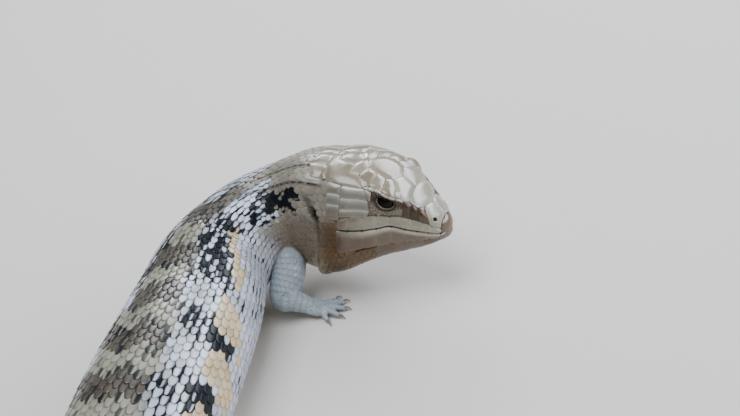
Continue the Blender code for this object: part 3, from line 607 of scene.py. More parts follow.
def scaleShape(faces):  # one scale: its length runs 0 to 1, its width -1 to 1, and its rim hangs down
    bpy.ops.mesh.primitive_grid_add(x_subdivisions=faces[0], y_subdivisions=faces[1], size=2)
    made = newPrimitive("scaleShape")
    for edge in made.data.edges:
        edge.select = False
    bpy.ops.object.mode_set(mode="EDIT")
    bpy.ops.mesh.select_all(action="SELECT")
    bpy.ops.mesh.select_mode(type="EDGE")
    bpy.ops.mesh.select_all(action="DESELECT")
    bpy.ops.mesh.select_non_manifold(extend=False, use_boundary=True, use_wire=False,
                                     use_multi_face=False, use_non_contiguous=False, use_verts=False)
    bpy.ops.mesh.extrude_edges_move(TRANSFORM_OT_translate={"value": (0, 0, -1)})
    bpy.ops.object.mode_set(mode="OBJECT")
    points = np.array([tuple(v.co) for v in made.data.vertices])
    shape = [tuple(p.vertices) for p in made.data.polygons]
    front = {i for i, p in enumerate(points) if p[0] < -0.999 and p[2] < -0.5}
    shape = [face for face in shape if len(front.intersection(face)) < 2]
    bpy.data.objects.remove(made, do_unlink=True)
    return (points[:, 0] + 1) / 2, points[:, 1], points[:, 2] < -0.5, np.array(shape)


def outline(a, b):  # a narrow root, wide shoulders and a rounded free edge
    wide = 0.66 + 0.34 * ease(0, 0.45, a) - 0.30 * ease(0.6, 1.0, a) ** 1.5
    return a * (1 - 0.15 * (b ** 2) * a), b * wide


def scaleHeight(a, b, rim, sizes):
    round_ = 0.07 * np.abs(b) ** 5 + 0.08 * a ** 9
    high = sizes["root"] + (sizes["tip"] - sizes["root"]) * a + sizes["dome"] * (1 - b ** 2) * (0.4 + 0.6 * a)
    return high - round_ - np.where(rim, sizes["thick"], 0)


def blackPart(a, b, level, lines, dash, chances):  # black spreads from a scale's sides as its level grows
    aside = (chances[3] - 0.5) * 1.1 * np.clip(level, 0, 1)
    along = np.maximum(np.abs(a - 0.68) - 0.20, 0) / 0.24
    core = np.hypot(along, (b - aside) / 0.80)
    black = ease(-0.10, 0.10, core - 1.22 + 1.02 * level) * ease(0.04, 0.14, level)
    side = np.where(chances[3] > 0.5, 0.44, -0.44)
    spot = np.maximum(np.abs(a - 0.64) / 0.40, np.abs(b - side) / 0.56)
    black = np.maximum(black, dash * (1 - ease(0.8, 1.1, spot)))
    return np.maximum(black, lines * ease(0.62, 0.80, np.abs(b)))


def placeScales():
    found = []
    bounds = [start for start, count in coat["rows"]] + [body["length"] - 1.2]
    at = np.array(coat["spacing"], float)
    for (start, count), end in zip(coat["rows"], bounds[1:]):
        station = start
        while station < end:
            step = np.interp(station, at[:, 0], at[:, 1])
            row = np.arange(count)
            found.append(np.stack([
                station + step * 0.5 * (row % 2), (row + 0.5) / count, np.full(count, step), np.full(count, count),
            ], 1))
            station += step
    found = np.concatenate(found)
    s, share, step, count = found.T
    line = lineAt(s, share)
    folded = np.minimum(line, 10 - line)
    keep = s > np.interp(folded, coat["startLine"], coat["startAt"])
    points, normals = plainSkin(s, line)
    for side in (1, -1):
        x, y, z = local(points, "ear", side)
        wide, high = head["earSize"]
        keep &= (np.hypot(x / (wide + 0.3), y / (high + 0.3)) > 1) | (np.abs(z) > 8)
    keep &= s < body["length"] - 2
    return found[keep]


def buildCoat():
    places = placeScales()
    a, b, rim, faces = scaleShape(coat["faces"])
    along, across = outline(a, b)
    chance = draw.random((8, len(places)))
    s0, share0, step, count = places.T
    marks = markings(s0, share0, chance)
    size = 1 + 0.08 * (chance[5] - 0.5)
    long = (coat["long"] * step * size)[:, None]
    half = (coat["wide"] * size / count / 2)[:, None]
    s = s0[:, None] + long * (along - 0.62)
    share = share0[:, None] + half * across + (0.004 * (chance[6] - 0.5) * 42 / count)[:, None]
    s = np.clip(s, 3, body["length"] - 0.05)
    points, normals = onSkin(s.ravel(), lineAt(s.ravel(), share.ravel()))
    down0 = np.minimum(share0 % 1, 1 - share0 % 1) * 2
    smooth = (0.55 + 0.45 * ease(60, 105, s0)) * (1 - 0.45 * ease(0.3, 0.45, down0) * (1 - ease(92, 110, s0)))
    small = (np.clip(step / 4.4, 0.45, 1) * smooth)[:, None]
    high = scaleHeight(a, b, rim, coat) * small + (0.06 * (chance[7] - 0.5))[:, None]
    points = points + normals * high.reshape(-1, 1)
    points[:, 2] = np.maximum(points[:, 2], 0.0)
    each = len(a)
    spread = lambda values: np.repeat(values, each).reshape(-1, each)
    chances = [spread(c) for c in chance]
    masks = {k: spread(marks[k]) for k in baseMasks}
    black = blackPart(a, b, spread(marks["level"]), spread(marks["lines"]), spread(marks["dash"]), chances)
    down = np.minimum(share % 1, 1 - share % 1) * 2
    nape = between(56, 98, 4, s) * (0.35 + 0.65 * ease(0.35, 0.75, a))
    for stations, heights in pattern["napeLines"]:
        away = down - np.interp(s, stations, heights)
        black = np.maximum(black, nape * np.exp(-(away / pattern["napeLineWidth"]) ** 2))
    # painted shade inside the ear openings
    for side in (1, -1):
        x, y, z = local(points.reshape(-1, 3), "ear", side)
        wide, high = head["earSize"]
        ring = np.where(np.abs(z) < 6, np.hypot(x / wide, y / high), 9).reshape(black.shape)
        black = np.maximum(black, 0.92 * (1 - ease(0.72, 1.12, ring)))
    # painted shade along the fold behind the jaw
    folded = lineAt(s.ravel(), share.ravel())
    crease = jawFold(s.ravel(), folded) / head["foldSize"][0]
    folded = np.minimum(folded, 10 - folded)
    black = np.maximum(black, (0.62 * crease * (1 - ease(2.8, 3.4, folded))).reshape(black.shape))
    masks["black"] = black
    masks["rim"] = np.maximum(ease(0.86, 1.0, a), ease(0.80, 1.0, np.abs(b))) * np.ones_like(s)
    masks["tone"] = spread(0.86 + 0.24 * chance[3]) * (1 - 0.08 * b ** 2) * (0.84 + 0.16 * ease(0.25, 0.8, a))
    masks["tone"] *= spread(1 + 0.22 * between(44, 60, 6, s0) * between(0.16, 0.34, 0.08, down0))
    bake = np.stack([0.01 + 0.98 * spread(s0) / body["length"] + 0.003 * (a - 0.5),
                     0.01 + 0.98 * spread(share0) + 0.0015 * b], -1)
    made = []
    points = points.reshape(-1, each, 3)
    for name, start, end in coat["pieces"]:
        own = (s0 >= start) & (s0 < end)
        total = int(own.sum())
        shapes = (faces[None] + (np.arange(total) * each)[:, None, None]).reshape(-1, faces.shape[1])
        made.append(meshPiece(name, points[own].reshape(-1, 3), shapes.tolist(),
                              {k: v[own].ravel() for k, v in masks.items()}, materials["scales"],
                              bake[own].reshape(-1, 2)))
        print(name, total, "scales")
    return made


legs = {
    "voxel": 0.475,
    "smoothing": 5,
    "fillet": 2.6,
    "palm": ((3.7, 3.9, 3.5), 0.72, 1.35),
    "toes": {  # turned from the way the foot points, length, half thickness
        "fore": ((-52, 8.2, 1.35), (-22, 10.2, 1.5), (2, 11.0, 1.5), (25, 10.6, 1.45), (47, 8.6, 1.35)),
        "hind": ((-48, 8.0, 1.45), (-22, 10.8, 1.55), (2, 13.2, 1.6), (24, 14.6, 1.6), (58, 9.4, 1.45)),
    },
    "claw": (0.80, 0.24, 3.4),
    # each leg by points: forward of its station, out to the side, height, half thickness
    "limbs": {
        "forelegRight": (97.0, -1, 34.0, "fore", (
            (3.0, 5.0, 31.0, 6.6), (7.0, 11.0, 28.0, 7.2), (6.8, 17.4, 24.5, 7.8), (2.8, 23.2, 18.5, 7.8),
            (-4.2, 28.4, 11.2, 6.6), (-1.4, 31.2, 9.2, 5.6), (1.8, 33.2, 6.8, 4.6), (4.8, 34.6, 4.6, 3.8))),
        "forelegLeft": (97.0, 1, 40.0, "fore", (
            (0.0, 4.0, 31.0, 6.8), (0.0, 12.0, 27.0, 7.2), (-3.0, 20.0, 21.0, 7.4), (-8.0, 26.0, 15.0, 7.0),
            (-10.0, 31.0, 10.6, 6.0), (-5.0, 35.0, 8.0, 5.0), (0.5, 37.5, 5.8, 4.1), (4.0, 39.0, 4.2, 3.7))),
        "hindlegRight": (291.0, -1, 42.0, "hind", (
            (0.0, 4.0, 17.0, 7.6), (1.0, 10.0, 16.5, 8.4), (5.0, 19.0, 15.0, 8.4), (9.5, 26.5, 13.2, 7.4),
            (9.0, 32.0, 11.0, 6.4), (2.5, 34.5, 8.6, 5.2), (-3.6, 35.5, 6.2, 4.3), (-6.0, 37.5, 4.2, 4.0))),
        "hindlegLeft": (291.0, 1, 42.0, "hind", (
            (0.0, 4.0, 17.0, 7.6), (1.0, 10.0, 16.5, 8.4), (5.0, 19.0, 15.0, 8.4), (9.5, 26.5, 13.2, 7.4),
            (9.0, 32.0, 11.0, 6.4), (2.5, 34.5, 8.6, 5.2), (-3.6, 35.5, 6.2, 4.3), (-6.0, 37.5, 4.2, 4.0))),
    },
    "rows": {"upper": (18, 2.5), "lower": (15, 2.1), "palm": (16, 1.6), "toe": (8, 1.35)},
}


def beside(station, side, forward, out, high):  # a point by its station: forward of it, out to a side, over the floor
    centre = spineFrame(np.array([station]))[0][0]
    turn = float(heading(np.array([station]))[0])
    ahead = np.array((cos(turn), sin(turn), 0.0))
    leftward = np.array((-sin(turn), cos(turn), 0.0))
    return np.array((centre[0], centre[1], high)) + ahead * forward + leftward * out * side


def alongPath(path, sizes, pieces):  # a smooth path with its half thicknesses, rounded off at both ends
    path, sizes = np.array(path, float), np.array(sizes, float)
    count = len(path)
    at = np.linspace(0, count - 1, (count - 1) * pieces + 1)
    i = np.clip(at.astype(int), 0, count - 2)
    centres = through(lambda k: path[np.clip(k, 0, count - 1)], i, (at - i)[:, None])
    wide = smoothThrough(np.arange(count), sizes, at)
    ahead = np.gradient(centres, axis=0)
    ahead /= np.linalg.norm(ahead, axis=1, keepdims=True)
    reach = np.array((0.35, 0.65, 0.85, 0.96))
    ending = np.sqrt(1 - reach ** 2)
    centres = np.vstack([centres[0] - ahead[0] * wide[0] * reach[::-1, None], centres,
                         centres[-1] + ahead[-1] * wide[-1] * reach[:, None]])
    return centres, np.r_[wide[0] * ending[::-1], wide, wide[-1] * ending]


def tube(name, centres, wide):
    bpy.ops.curve.primitive_bezier_curve_add()
    made = bpy.context.object
    curve = made.data
    curve.splines.clear()
    spline = curve.splines.new("POLY")
    spline.points.add(len(centres) - 1)
    spline.points.foreach_set("co", np.c_[centres * mm, np.ones(len(centres))].ravel())
    spline.points.foreach_set("radius", wide)
    curve.bevel_depth = mm
    curve.bevel_resolution = 4
    curve.use_fill_caps = True
    bpy.ops.object.convert(target="MESH")
    return newPrimitive(name)


def moveVertices(made, change):
    flat = np.empty(len(made.data.vertices) * 3)
    made.data.vertices.foreach_get("co", flat)
    points = change(flat.reshape(-1, 3) / mm)
    made.data.vertices.foreach_set("co", (points * mm).ravel())
    made.data.update()


def verticesOf(made):
    flat = np.empty(len(made.data.vertices) * 3)
    made.data.vertices.foreach_get("co", flat)
    return flat.reshape(-1, 3) / mm


def applyAll(made):
    bpy.ops.object.select_all(action="DESELECT")
    made.select_set(True)
    bpy.context.view_layer.objects.active = made
    for modifier in list(made.modifiers):
        bpy.ops.object.modifier_apply(modifier=modifier.name)


def buildLeg(name):  # the flesh of one leg, and the paths that its scales and claws follow
    station, side, outward, kind, points = legs["limbs"][name]
    path = [beside(station, side, *p[:3]) for p in points]
    centres, wide = alongPath(path, [p[3] for p in points], 5)
    shapes = [tube(name, centres, wide)]
    turn = float(heading(np.array([station]))[0]) + side * radians(outward)
    ahead = np.array((cos(turn), sin(turn), 0.0))
    leftward = np.cross((0, 0, 1.0), ahead)
    palm = path[-1] + ahead * 5.2
    palm[2] = 2.4
    sizes, flat, broad = legs["palm"]
    middle, palmWide = alongPath([path[-1], (path[-1] + palm) / 2, palm], sizes, 4)
    made = tube("palm", middle, palmWide)

    def flatten(p):
        across = (p - palm) @ leftward
        heights = np.interp((p - path[-1]) @ ahead, (0, 5.2), (path[-1][2], palm[2]))
        p = p + leftward * (across * (broad - 1))[:, None]
        p[:, 2] = heights + (p[:, 2] - heights) * flat
        return p

    moveVertices(made, flatten)
    shapes.append(made)
    tracks = [("upper", centres[4:-4], ahead), ("palm", middle, ahead)]
    claws = []
    for toe, length, thick in legs["toes"][kind]:
        angle = radians(toe) * -side
        way = ahead * cos(angle) + leftward * sin(angle)
        root = palm - ahead * 1.5 + way
        root[2] = 2.3
        knuckle = root + way * length * 0.45
        knuckle[2] = 2.9 * thick / 1.5
        tip = root + way * length
        tip[2] = thick - 0.30
        centresToe, wideToe = alongPath([root, knuckle, tip], (thick * 1.1, thick, thick * 0.78), 5)
        shapes.append(tube("toe", centresToe, wideToe))
        tracks.append(("toe", centresToe, way))
        claws.append((tip, way, thick))
    bpy.ops.object.select_all(action="DESELECT")
    for shape in shapes:
        shape.select_set(True)
    bpy.context.view_layer.objects.active = shapes[0]
    bpy.ops.object.join()
    leg = shapes[0]
    remesh = leg.modifiers.new("oneSkin", "REMESH")
    remesh.mode = "VOXEL"
    remesh.voxel_size = legs["voxel"] * mm
    smooth = leg.modifiers.new("soften", "SMOOTH")
    smooth.iterations = legs["smoothing"]
    applyAll(leg)
    moveVertices(leg, lambda p: np.c_[p[:, :2], np.maximum(p[:, 2], 0.02)])
    return leg, tracks, claws


def paintedCreaseShade(points, s, line):  # the dark of the mouth's line and the ears
    # painted shade: dark along the mouth's groove and inside the ear openings
    folded = np.minimum(line % 10, 10 - line % 10)
    size = np.interp(s, tableAt, tableGirth) / 10
    away = (folded - smoothThrough(head["mouthAt"], head["mouthLine"], s)) * size
    dark = 0.75 * np.exp(-(away / 0.55) ** 2) * (1 - ease(*head["mouthEnd"], s))
    for side in (1, -1):
        x, y, z = local(points, "ear", side)
        wide, high = head["earSize"]
        ring = np.where(np.abs(z) < 6, np.hypot(x / wide, y / high), 9)
        dark = np.maximum(dark, 0.8 * (1 - ease(0.7, 1.1, ring)))
    return dark


def casterOf(made):
    return BVHTree.FromPolygons([Vector(p) for p in verticesOf(made)], [tuple(p.vertices) for p in made.data.polygons])


def buildSkin():
    rows = np.r_[0.05, 0.3, 0.7, np.arange(1.2, 64, 0.45), np.arange(64.5, 310, 2.5), np.arange(311, 484, 3), 484]
    columns = 176
    bpy.ops.mesh.primitive_grid_add(x_subdivisions=len(rows) - 1, y_subdivisions=columns, size=2)
    made = newPrimitive("skin")
    flat = verticesOf(made) * mm
    s = rows[np.rint((flat[:, 0] + 1) / 2 * (len(rows) - 1)).astype(int)]
    line = 10 * ((flat[:, 1] + 1) / 2)
    points, normals = onSkin(s, line)
    deep = np.interp(s, (0, 2, 460, 484), (0.2, coat["depth"], coat["depth"], 0.3))
    moveVertices(made, lambda p: points - normals * deep[:, None])
    share = np.array([shareOf(a, b) for a, b in zip(s, line)])
    trunkCaster = BVHTree.FromPolygons([Vector(p) for p in points], [tuple(p.vertices) for p in made.data.polygons])
    shapes = [tuple(p.vertices) for p in made.data.polygons]
    faceNormals = normals[[shape[0] for shape in shapes]]
    bpy.ops.object.select_all(action="DESELECT")
    made.select_set(True)
    bpy.context.view_layer.objects.active = made
    bpy.ops.object.mode_set(mode="EDIT")
    bpy.ops.mesh.select_all(action="SELECT")
    bpy.ops.mesh.remove_doubles(threshold=1e-7)
    bpy.ops.mesh.fill_holes(sides=0)
    bpy.ops.mesh.normals_make_consistent(inside=False)
    bpy.ops.object.mode_set(mode="OBJECT")
    found = {}
    for name in legs["limbs"]:
        leg, tracks, claws = buildLeg(name)
        found[name] = (casterOf(leg), tracks, claws)
        union = made.modifiers.new("join", "BOOLEAN")
        union.operation = "UNION"
        union.solver = "MANIFOLD"
        union.object = leg
        applyAll(made)
        bpy.data.objects.remove(leg, do_unlink=True)
    points = verticesOf(made)
    away = [trunkCaster.find_nearest(Vector(p)) for p in points]
    fromBody = np.array([f[3] for f in away])
    corner = np.array([shapes[f[2]][0] for f in away])
    fromLeg = np.full(len(points), 99.0)
    for caster, tracks, claws in found.values():
        close = np.nonzero(np.linalg.norm(points - tracks[0][1].mean(0), axis=1) < 60)[0]
        near = [caster.find_nearest(Vector(points[i]), 12) for i in close]
        fromLeg[close] = np.minimum(fromLeg[close], [f[3] if f[0] else 99 for f in near])
    join = np.exp(-(np.maximum(fromLeg, fromBody - coat["depth"]) / legs["fillet"]) ** 2)
    group = made.vertex_groups.new(name="fillet")
    for i in np.nonzero(join > 0.05)[0]:
        group.add([int(i)], float(join[i]), "REPLACE")
    smooth = made.modifiers.new("softenFillet", "SMOOTH")
    smooth.iterations = 12
    smooth.vertex_group = "fillet"
    applyAll(made)
    made.vertex_groups.clear()
    chance = np.full((8, len(points)), 0.5)
    masks = markings(s[corner], share[corner], chance)
    onLeg = ease(0.6, 1.6, fromBody)
    values = {k: masks[k] * (1 - onLeg) for k in baseMasks}
    values["black"] = np.clip(masks["level"], 0, 1) * 0.8 * (1 - onLeg)
    # painted shade along the mouth's groove and in the ear openings
    values["black"] = np.maximum(values["black"], paintedCreaseShade(points, s[corner], line[corner]))
    values["leg"] = onLeg
    values["tone"] = 0.62 + 0.30 * np.maximum(1 - ease(44, 58, s[corner]), onLeg)
    for mask, amount in values.items():
        made.data.attributes.new(mask, "FLOAT", "POINT").data.foreach_set("value", amount.astype(np.float32))
    made.data.shade_smooth()
    made.data.materials.clear()
    made.data.materials.append(materials["skin"])
    return made, (trunkCaster, faceNormals), found


def frameOf(centre, along):
    sideways = np.cross((0, 0, 1.0), along)
    sideways /= max(np.linalg.norm(sideways), 1e-6)
    return sideways, np.cross(along, sideways)


def buildLegScales():
    a, b, rim, faces = scaleShape((6, 4))
    along, across = outline(a, b)
    caster = casterOf(skin)
    made = []
    for name, (leg, tracks, claws) in legParts.items():
        points, shapes, bake, tones = [], [], [], []
        start = 0
        for kind, path, way in tracks:
            count, step = legs["rows"][kind]
            reach = np.r_[0, np.cumsum(np.linalg.norm(np.diff(path, axis=0), axis=1))]
            ahead = np.gradient(path, axis=0)
            ahead /= np.linalg.norm(ahead, axis=1, keepdims=True)
            first = 8.0 if kind == "upper" else 1.0
            for k, at in enumerate(np.arange(first, reach[-1] + (1.2 if kind != "upper" else 0), step)):
                for i in range(count):
                    turn = 2 * pi * (i + 0.5 * (k % 2)) / count
                    stations = at + (along - 0.6) * step * 1.65
                    turns = turn + across * pi * 1.3 / count
                    middle = np.stack([np.interp(stations, reach, path[:, j]) for j in range(3)], 1)
                    beyond = np.maximum(stations - reach[-1], 0)
                    heads = np.stack([np.interp(stations, reach, ahead[:, j]) for j in range(3)], 1)
                    middle += heads * beyond[:, None] * 0.3
                    sideways, over = np.array([frameOf(c, h) for c, h in zip(middle, heads)]).transpose(1, 0, 2)
                    rays = sideways * np.cos(turns)[:, None] + over * np.sin(turns)[:, None]
                    rays += heads * (beyond * 0.5)[:, None]
                    rays /= np.linalg.norm(rays, axis=1, keepdims=True)
                    hits = [leg.ray_cast(Vector(c), Vector(r), 14) for c, r in zip(middle, rays)]
                    if any(h[0] is None for h in hits):
                        continue
                    surface = np.array([tuple(h[0]) for h in hits])
                    root = surface.mean(0)
                    if overTrunk(root) < 0.8 or root[2] < 0.4 or nearSeveral(root, tracks, kind, path):
                        continue
                    snapped = [caster.find_nearest(Vector(p), 2.5) for p in surface]
                    surface = np.array([tuple(f[0]) if f[0] else tuple(p) for f, p in zip(snapped, surface)])
                    small = step / 4.4
                    high = scaleHeight(a, b, rim, legScale) * small
                    top = surface + rays * high[:, None]
                    top[:, 2] = np.maximum(top[:, 2], 0.0)
                    points.append(top)
                    shapes.append(faces + start)
                    start += len(a)
                    tones.append(np.full(len(a), 0.9 + 0.2 * draw.random()))
                    centre = np.array([0.30 + 0.1 * len(made) + at / 800, turn / 2 / pi * 0.08 + 0.9])
                    bake.append(centre + 0.0015 * np.stack([a - 0.5, b], 1))
        total = sum(len(p) for p in points)
        masks = {"leg": np.ones(total), "tone": np.concatenate(tones)}
        piece = meshPiece(name + "Scales", np.vstack(points), np.vstack(shapes).tolist(), masks, materials["scales"],
                          np.vstack(bake))
        made.append(piece)
        print(piece.name, len(points), "scales")
    return made


legScale = {"root": -0.30, "tip": 0.14, "dome": 0.10, "thick": 0.35}


def overTrunk(point):  # how far a point stands outside the trunk's own surface
    caster, normals = trunkSurface
    ways = ((1, 0, 0), (-1, 0, 0), (0, 1, 0), (0, -1, 0), (0, 0, 1), (0, 0, -1))
    if any(caster.ray_cast(Vector(point), Vector(way))[0] is None for way in ways):
        return caster.find_nearest(Vector(point))[3]
    place, normal, index, distance = caster.find_nearest(Vector(point))
    return float((point - np.array(place)) @ normals[index])


def nearSeveral(point, tracks, kind, path):  # whether a part further out along the foot covers this place
    if kind == "toe":
        return False
    later = [t[1] for t in tracks if t[0] == "toe" or (kind == "upper" and t[0] == "palm")]
    for other in later:
        inside = np.linalg.norm(other[2:-1] - point, axis=1).min()
        if inside < (1.55 if len(other) and kind == "palm" else 2.2):
            return True
    return False


def buildClaws():
    made = []
    base, end, length = legs["claw"]
    for leg, tracks, claws in legParts.values():
        for tip, way, thick in claws:
            root = tip - way * 0.3 + np.array((0, 0, 0.35))
            middle = root + way * length * 0.55 + np.array((0, 0, 0.35))
            point = root + way * length + np.array((0, 0, end - root[2] + 0.02))
            path = through(lambda k: np.array([root, middle, point])[np.clip(k, 0, 2)], np.array([0, 0, 0, 0, 1, 1, 1, 1, 1]),
                           np.array([0, 0.25, 0.5, 0.75, 0, 0.25, 0.5, 0.75, 1.0])[:, None])
            made.append(tube("claw", path, np.linspace(base, end * 0.8, 9)))
    bpy.ops.object.select_all(action="DESELECT")
    for claw in made:
        claw.select_set(True)
    bpy.context.view_layer.objects.active = made[0]
    bpy.ops.object.join()
    claws = made[0]
    claws.name = "claws"
    claws.data.name = "claws"
    moveVertices(claws, lambda p: np.c_[p[:, :2], np.maximum(p[:, 2], 0.0)])
    claws.data.shade_smooth()
    claws.data.materials.append(materials["claw"])
    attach(claws, "root")
    return claws


# The large shields of the head, by their corners: station and line on the left side
corners = {
    "a0": (2.6, 0), "a1": (8.4, 0), "a2": (16.4, 0), "a3": (22.6, 0), "a4": (38.6, 0), "a5": (40.6, 0),
    "a6": (51.6, 0), "a7": (53.6, 0), "a8": (57.6, 0),
    "b1": (9.8, 0.62), "b2": (11.8, 0.93), "b3": (15.4, 0.84), "b4": (17.5, 0.95), "b5": (21.8, 0.62),
    "b6": (24.6, 0.34), "b7": (27.6, 0.42), "b8": (32.2, 0.38), "b9": (36.6, 0.26), "b10": (43.2, 0.27),
    "b11": (50.0, 0.20), "b12": (54.8, 0.46), "b13": (58.6, 0.42),
    "c1": (20.4, 0.88), "c2": (26.2, 0.88), "c3": (31.8, 0.88), "c4": (34.8, 0.98), "c5": (38.2, 0.60),
    "c6": (42.6, 0.58), "c7": (43.8, 1.03), "c8": (52.8, 0.90), "c9": (57.4, 0.86),
    "d0": (17.6, 1.06), "d1": (20.4, 1.03), "d2": (23.4, 1.01), "d3": (26.4, 1.01), "d4": (29.2, 1.03),
    "d5": (32.0, 1.05), "e1": (23.4, 0.88), "e2": (29.2, 0.88),
    "n3": (7.4, 1.3), "n4": (6.2, 1.92), "g1": (10.8, 1.86), "g2": (14.0, 1.84), "g3": (14.3, 0.9),
    "g4": (17.6, 1.88), "g5": (16.9, 1.45),
    "r1": (2.5, 0.95), "r2": (2.3, 1.95), "r3": (2.2, 2.84), "r4": (1.0, 2.87), "r5": (0.15, 2.9),
    "o1": (30.2, 1.10), "o2": (30.3, 1.45),
    "t0": (33.4, 1.03), "t2": (31.6, 1.42), "t3": (43.6, 1.42), "t4": (30.9, 1.79), "t5": (43.7, 1.79),
    "t6": (31.8, 2.12), "t7": (43.5, 2.12), "w1": (43.7, 1.33), "w2": (43.7, 1.66), "w3": (43.6, 1.98),
    "u1": (50.4, 0.97), "u2": (50.2, 1.31), "u3": (50.0, 1.64), "u4": (50.2, 1.97), "u5": (50.0, 2.30),
    "x1": (43.8, 2.32),
    "m0": (0.15, 3.1), "m1": (1.0, 3.1), "m2": (2.3, 3.08), "m3": (2.6, 3.42), "m4": (3.2, 4.3), "m5": (3.4, 5),
    "k1": (8.6, 5), "k2": (7.8, 4.3), "k3": (8.0, 3.42), "k4": (14.0, 3.43), "k5": (14.3, 4.42), "k6": (14.6, 5),
    "k7": (21.0, 4.40), "k8": (20.8, 3.45), "k9": (20.9, 3.92), "k10": (28.0, 3.90), "k11": (28.2, 3.48),
}
shields = {
    "gap": 0.035,
    "edge": 0.55,
    "rise": 0.23,
    "dome": 0.30,
    "domeReach": 2.2,
    "under": 0.30,
    "soft": {"lip": 0.45, "lowerLip": 0.35, "chin": 0.4, "rostral": 0.7, "cheek": 0.7},
    "fine": 0.36,
    "coarse": 0.75,
    "rings": (0.07, 0.2, 0.45),
    "middle": {  # half of each shield on the middle line, from the crest out and back
        "frontonasal": ("snout", "a1 b1 b2 b3 a2"), "frontal": ("crown", "a3 b6 b7 b8 b9 a4"),
        "interparietal": ("crown", "a5 b10 b11 a6"), "postmental": ("chin", "k1 k2 m4 m5"),
    },
    "front": {"rostral": ("rostral", "a0 r1 r2 r3 r4 r5"), "mental": ("rostral", "m0 m1 m2 m3 m4 m5")},
    "pairs": {
        "nasal": ("snout", "a0 r1 r2 n4 n3 b1 a1"), "postnasal": ("nasalSide", "n4 n3 b1 b2 g1"),
        "loreal": ("loreal", "b2 g1 g2 g3"), "rearLoreal": ("loreal", "g3 g2 g4 g5 d0 b4 b3"),
        "prefrontal": ("snout", "a2 b3 b4 c1 b5 b6 a3"), "supraocular": ("crown", "b6 b5 c1 e1 c2 b7"),
        "middleSupraocular": ("crown", "b7 c2 e2 c3 b8"), "rearSupraocular": ("crown", "b8 c3 c4 c5 b9"),
        "frontoparietal": ("crown", "a4 b9 c5 c6 b10 a5"),
        "parietal": ("crown", "c5 c4 t0 c7 c8 b12 a7 a6 b11 b10 c6"),
        "nuchal": ("crown", "a7 b12 b13 a8"), "outerNuchal": ("crown", "b12 c8 c9 b13"),
        "brow1": ("brow", "b4 d0 d1 c1"), "brow2": ("brow", "c1 d1 d2 e1"), "brow3": ("brow", "e1 d2 d3 c2"),
        "brow4": ("brow", "c2 d3 d4 e2"), "brow5": ("brow", "e2 d4 d5 c3"), "brow6": ("brow", "c3 d5 t0 c4"),
        "postocular": ("temple", "d5 o1 o2 t2 t0"), "temporal1": ("temple", "t0 t2 t3 w1 c7"),
        "temporal2": ("temple", "t2 t4 t5 w2 t3"), "temporal3": ("temple", "t4 t6 t7 w3 t5"),
        "rearTemporal1": ("temple", "c7 w1 u2 u1"), "rearTemporal2": ("temple", "w1 t3 w2 u3 u2"),
        "rearTemporal3": ("temple", "w2 t5 w3 u4 u3"), "rearTemporal4": ("cheek", "w3 t7 x1 u5 u4"),
        "parietalEdge": ("temple", "c7 u1 c8"),
        "sublabial": ("chin", "m3 m4 k2 k3"), "chin1": ("chin", "k1 k2 k3 k4 k5 k6"),
        "chin2": ("chin", "k4 k5 k7 k8"), "chin3": ("chin", "k8 k9 k10 k11"),
    },
    # the lips: from, to, and the edge away from the mouth, by station
    "upperLipAt": (2.2, 5.6, 9.4, 13.4, 17.9, 22.6, 28.0, 33.6, 39.2, 44.0),
    "upperLipEdge": (2.05, 1.93, 1.88, 1.85, 1.90, 2.03, 2.04, 2.12, 2.12, 2.28),
    "lowerLipAt": (2.35, 6.4, 11.0, 16.0, 21.6, 27.6, 33.6, 39.6, 44.6),
    "lowerLipEdge": (3.42, 3.42, 3.43, 3.44, 3.45, 3.47, 3.48, 3.50, 3.50),
    "lipGap": 0.035,
    "looks": {
        # the pale on the snout and brow shields is partly their own colour and partly painted highlight on the snout's
        # top and the brow's edge
        "snout": {"pale": 0.2}, "crown": {"tan": 0.6}, "brow": {"pale": 0.1, "grey": 0.4},
        "temple": {"grey": 0.6}, "cheek": {"grey": 0.3, "brown": 0.4}, "loreal": {"brown": 1.0, "black": 0.55},
        "nasalSide": {"brown": 1.0, "black": 0.3}, "lip": {"cream": 0.3, "grey": 0.4},
        "lowerLip": {"cream": 0.8, "pale": 0.35}, "rostral": {"brown": 0.75, "tan": 0.5},
        # the chin shields' dark brown is partly their own colour and partly painted shade under the jaw
        "chin": {"tan": 0.4, "brown": 0.95},
        "lid": {"grey": 0.45, "brown": 0.45}, "upperLid": {"brown": 0.9, "black": 0.6},
    },
}
shieldMasks = ("pale", "tan", "brown", "cream", "grey", "black")


def buildCaster():  # the finished skin of the head, to be hit by rays
    rows = np.r_[np.arange(0, 4, 0.15), np.arange(4, 64, 0.4)]
    count = 260
    s = np.repeat(rows, count)
    line = np.tile(np.arange(count) / count * 10, len(rows))
    points = onSkin(s, line)[0]
    grid = np.arange(len(s)).reshape(len(rows), count)
    right = np.roll(grid, -1, 1)
    quads = np.stack([grid[:-1], right[:-1], right[1:], grid[1:]], -1).reshape(-1, 4)
    return BVHTree.FromPolygons([Vector(p) for p in points], quads.tolist())


headCaster = buildCaster()
snoutCentre = plainSkin(np.array([7.0, 7.0]), np.array([0.0, 5.0]))[0].mean(0)
snoutAxes = [axis[0] for axis in spineFrame(np.array([3.0]))[1:]]


def skinPlace(scale):  # from flat millimetres back to the skin
    return lambda flat: onSkin(flat[:, 0] / scale[0], flat[:, 1] / scale[1] % 10)


def frontPlace(flat):  # flat millimetres are angles seen from inside the snout
    forward, left, up = snoutAxes
    turn, lift = flat[:, :1] / 8, flat[:, 1:] / 8
    ways = np.cos(lift) * (np.cos(turn) * forward + np.sin(turn) * left) + np.sin(lift) * up
    hits = [headCaster.ray_cast(Vector(snoutCentre), Vector(way))[0] for way in ways]
    return np.array([hit or headCaster.find_nearest(Vector(snoutCentre + way * 6))[0] for hit, way in zip(hits, ways)]), ways


def flatFront(points):
    away = points - snoutCentre
    forward, left, up = (away @ axis for axis in snoutAxes)
    return np.stack([np.arctan2(left, forward), np.arctan2(up, np.hypot(left, forward))], 1) * 8


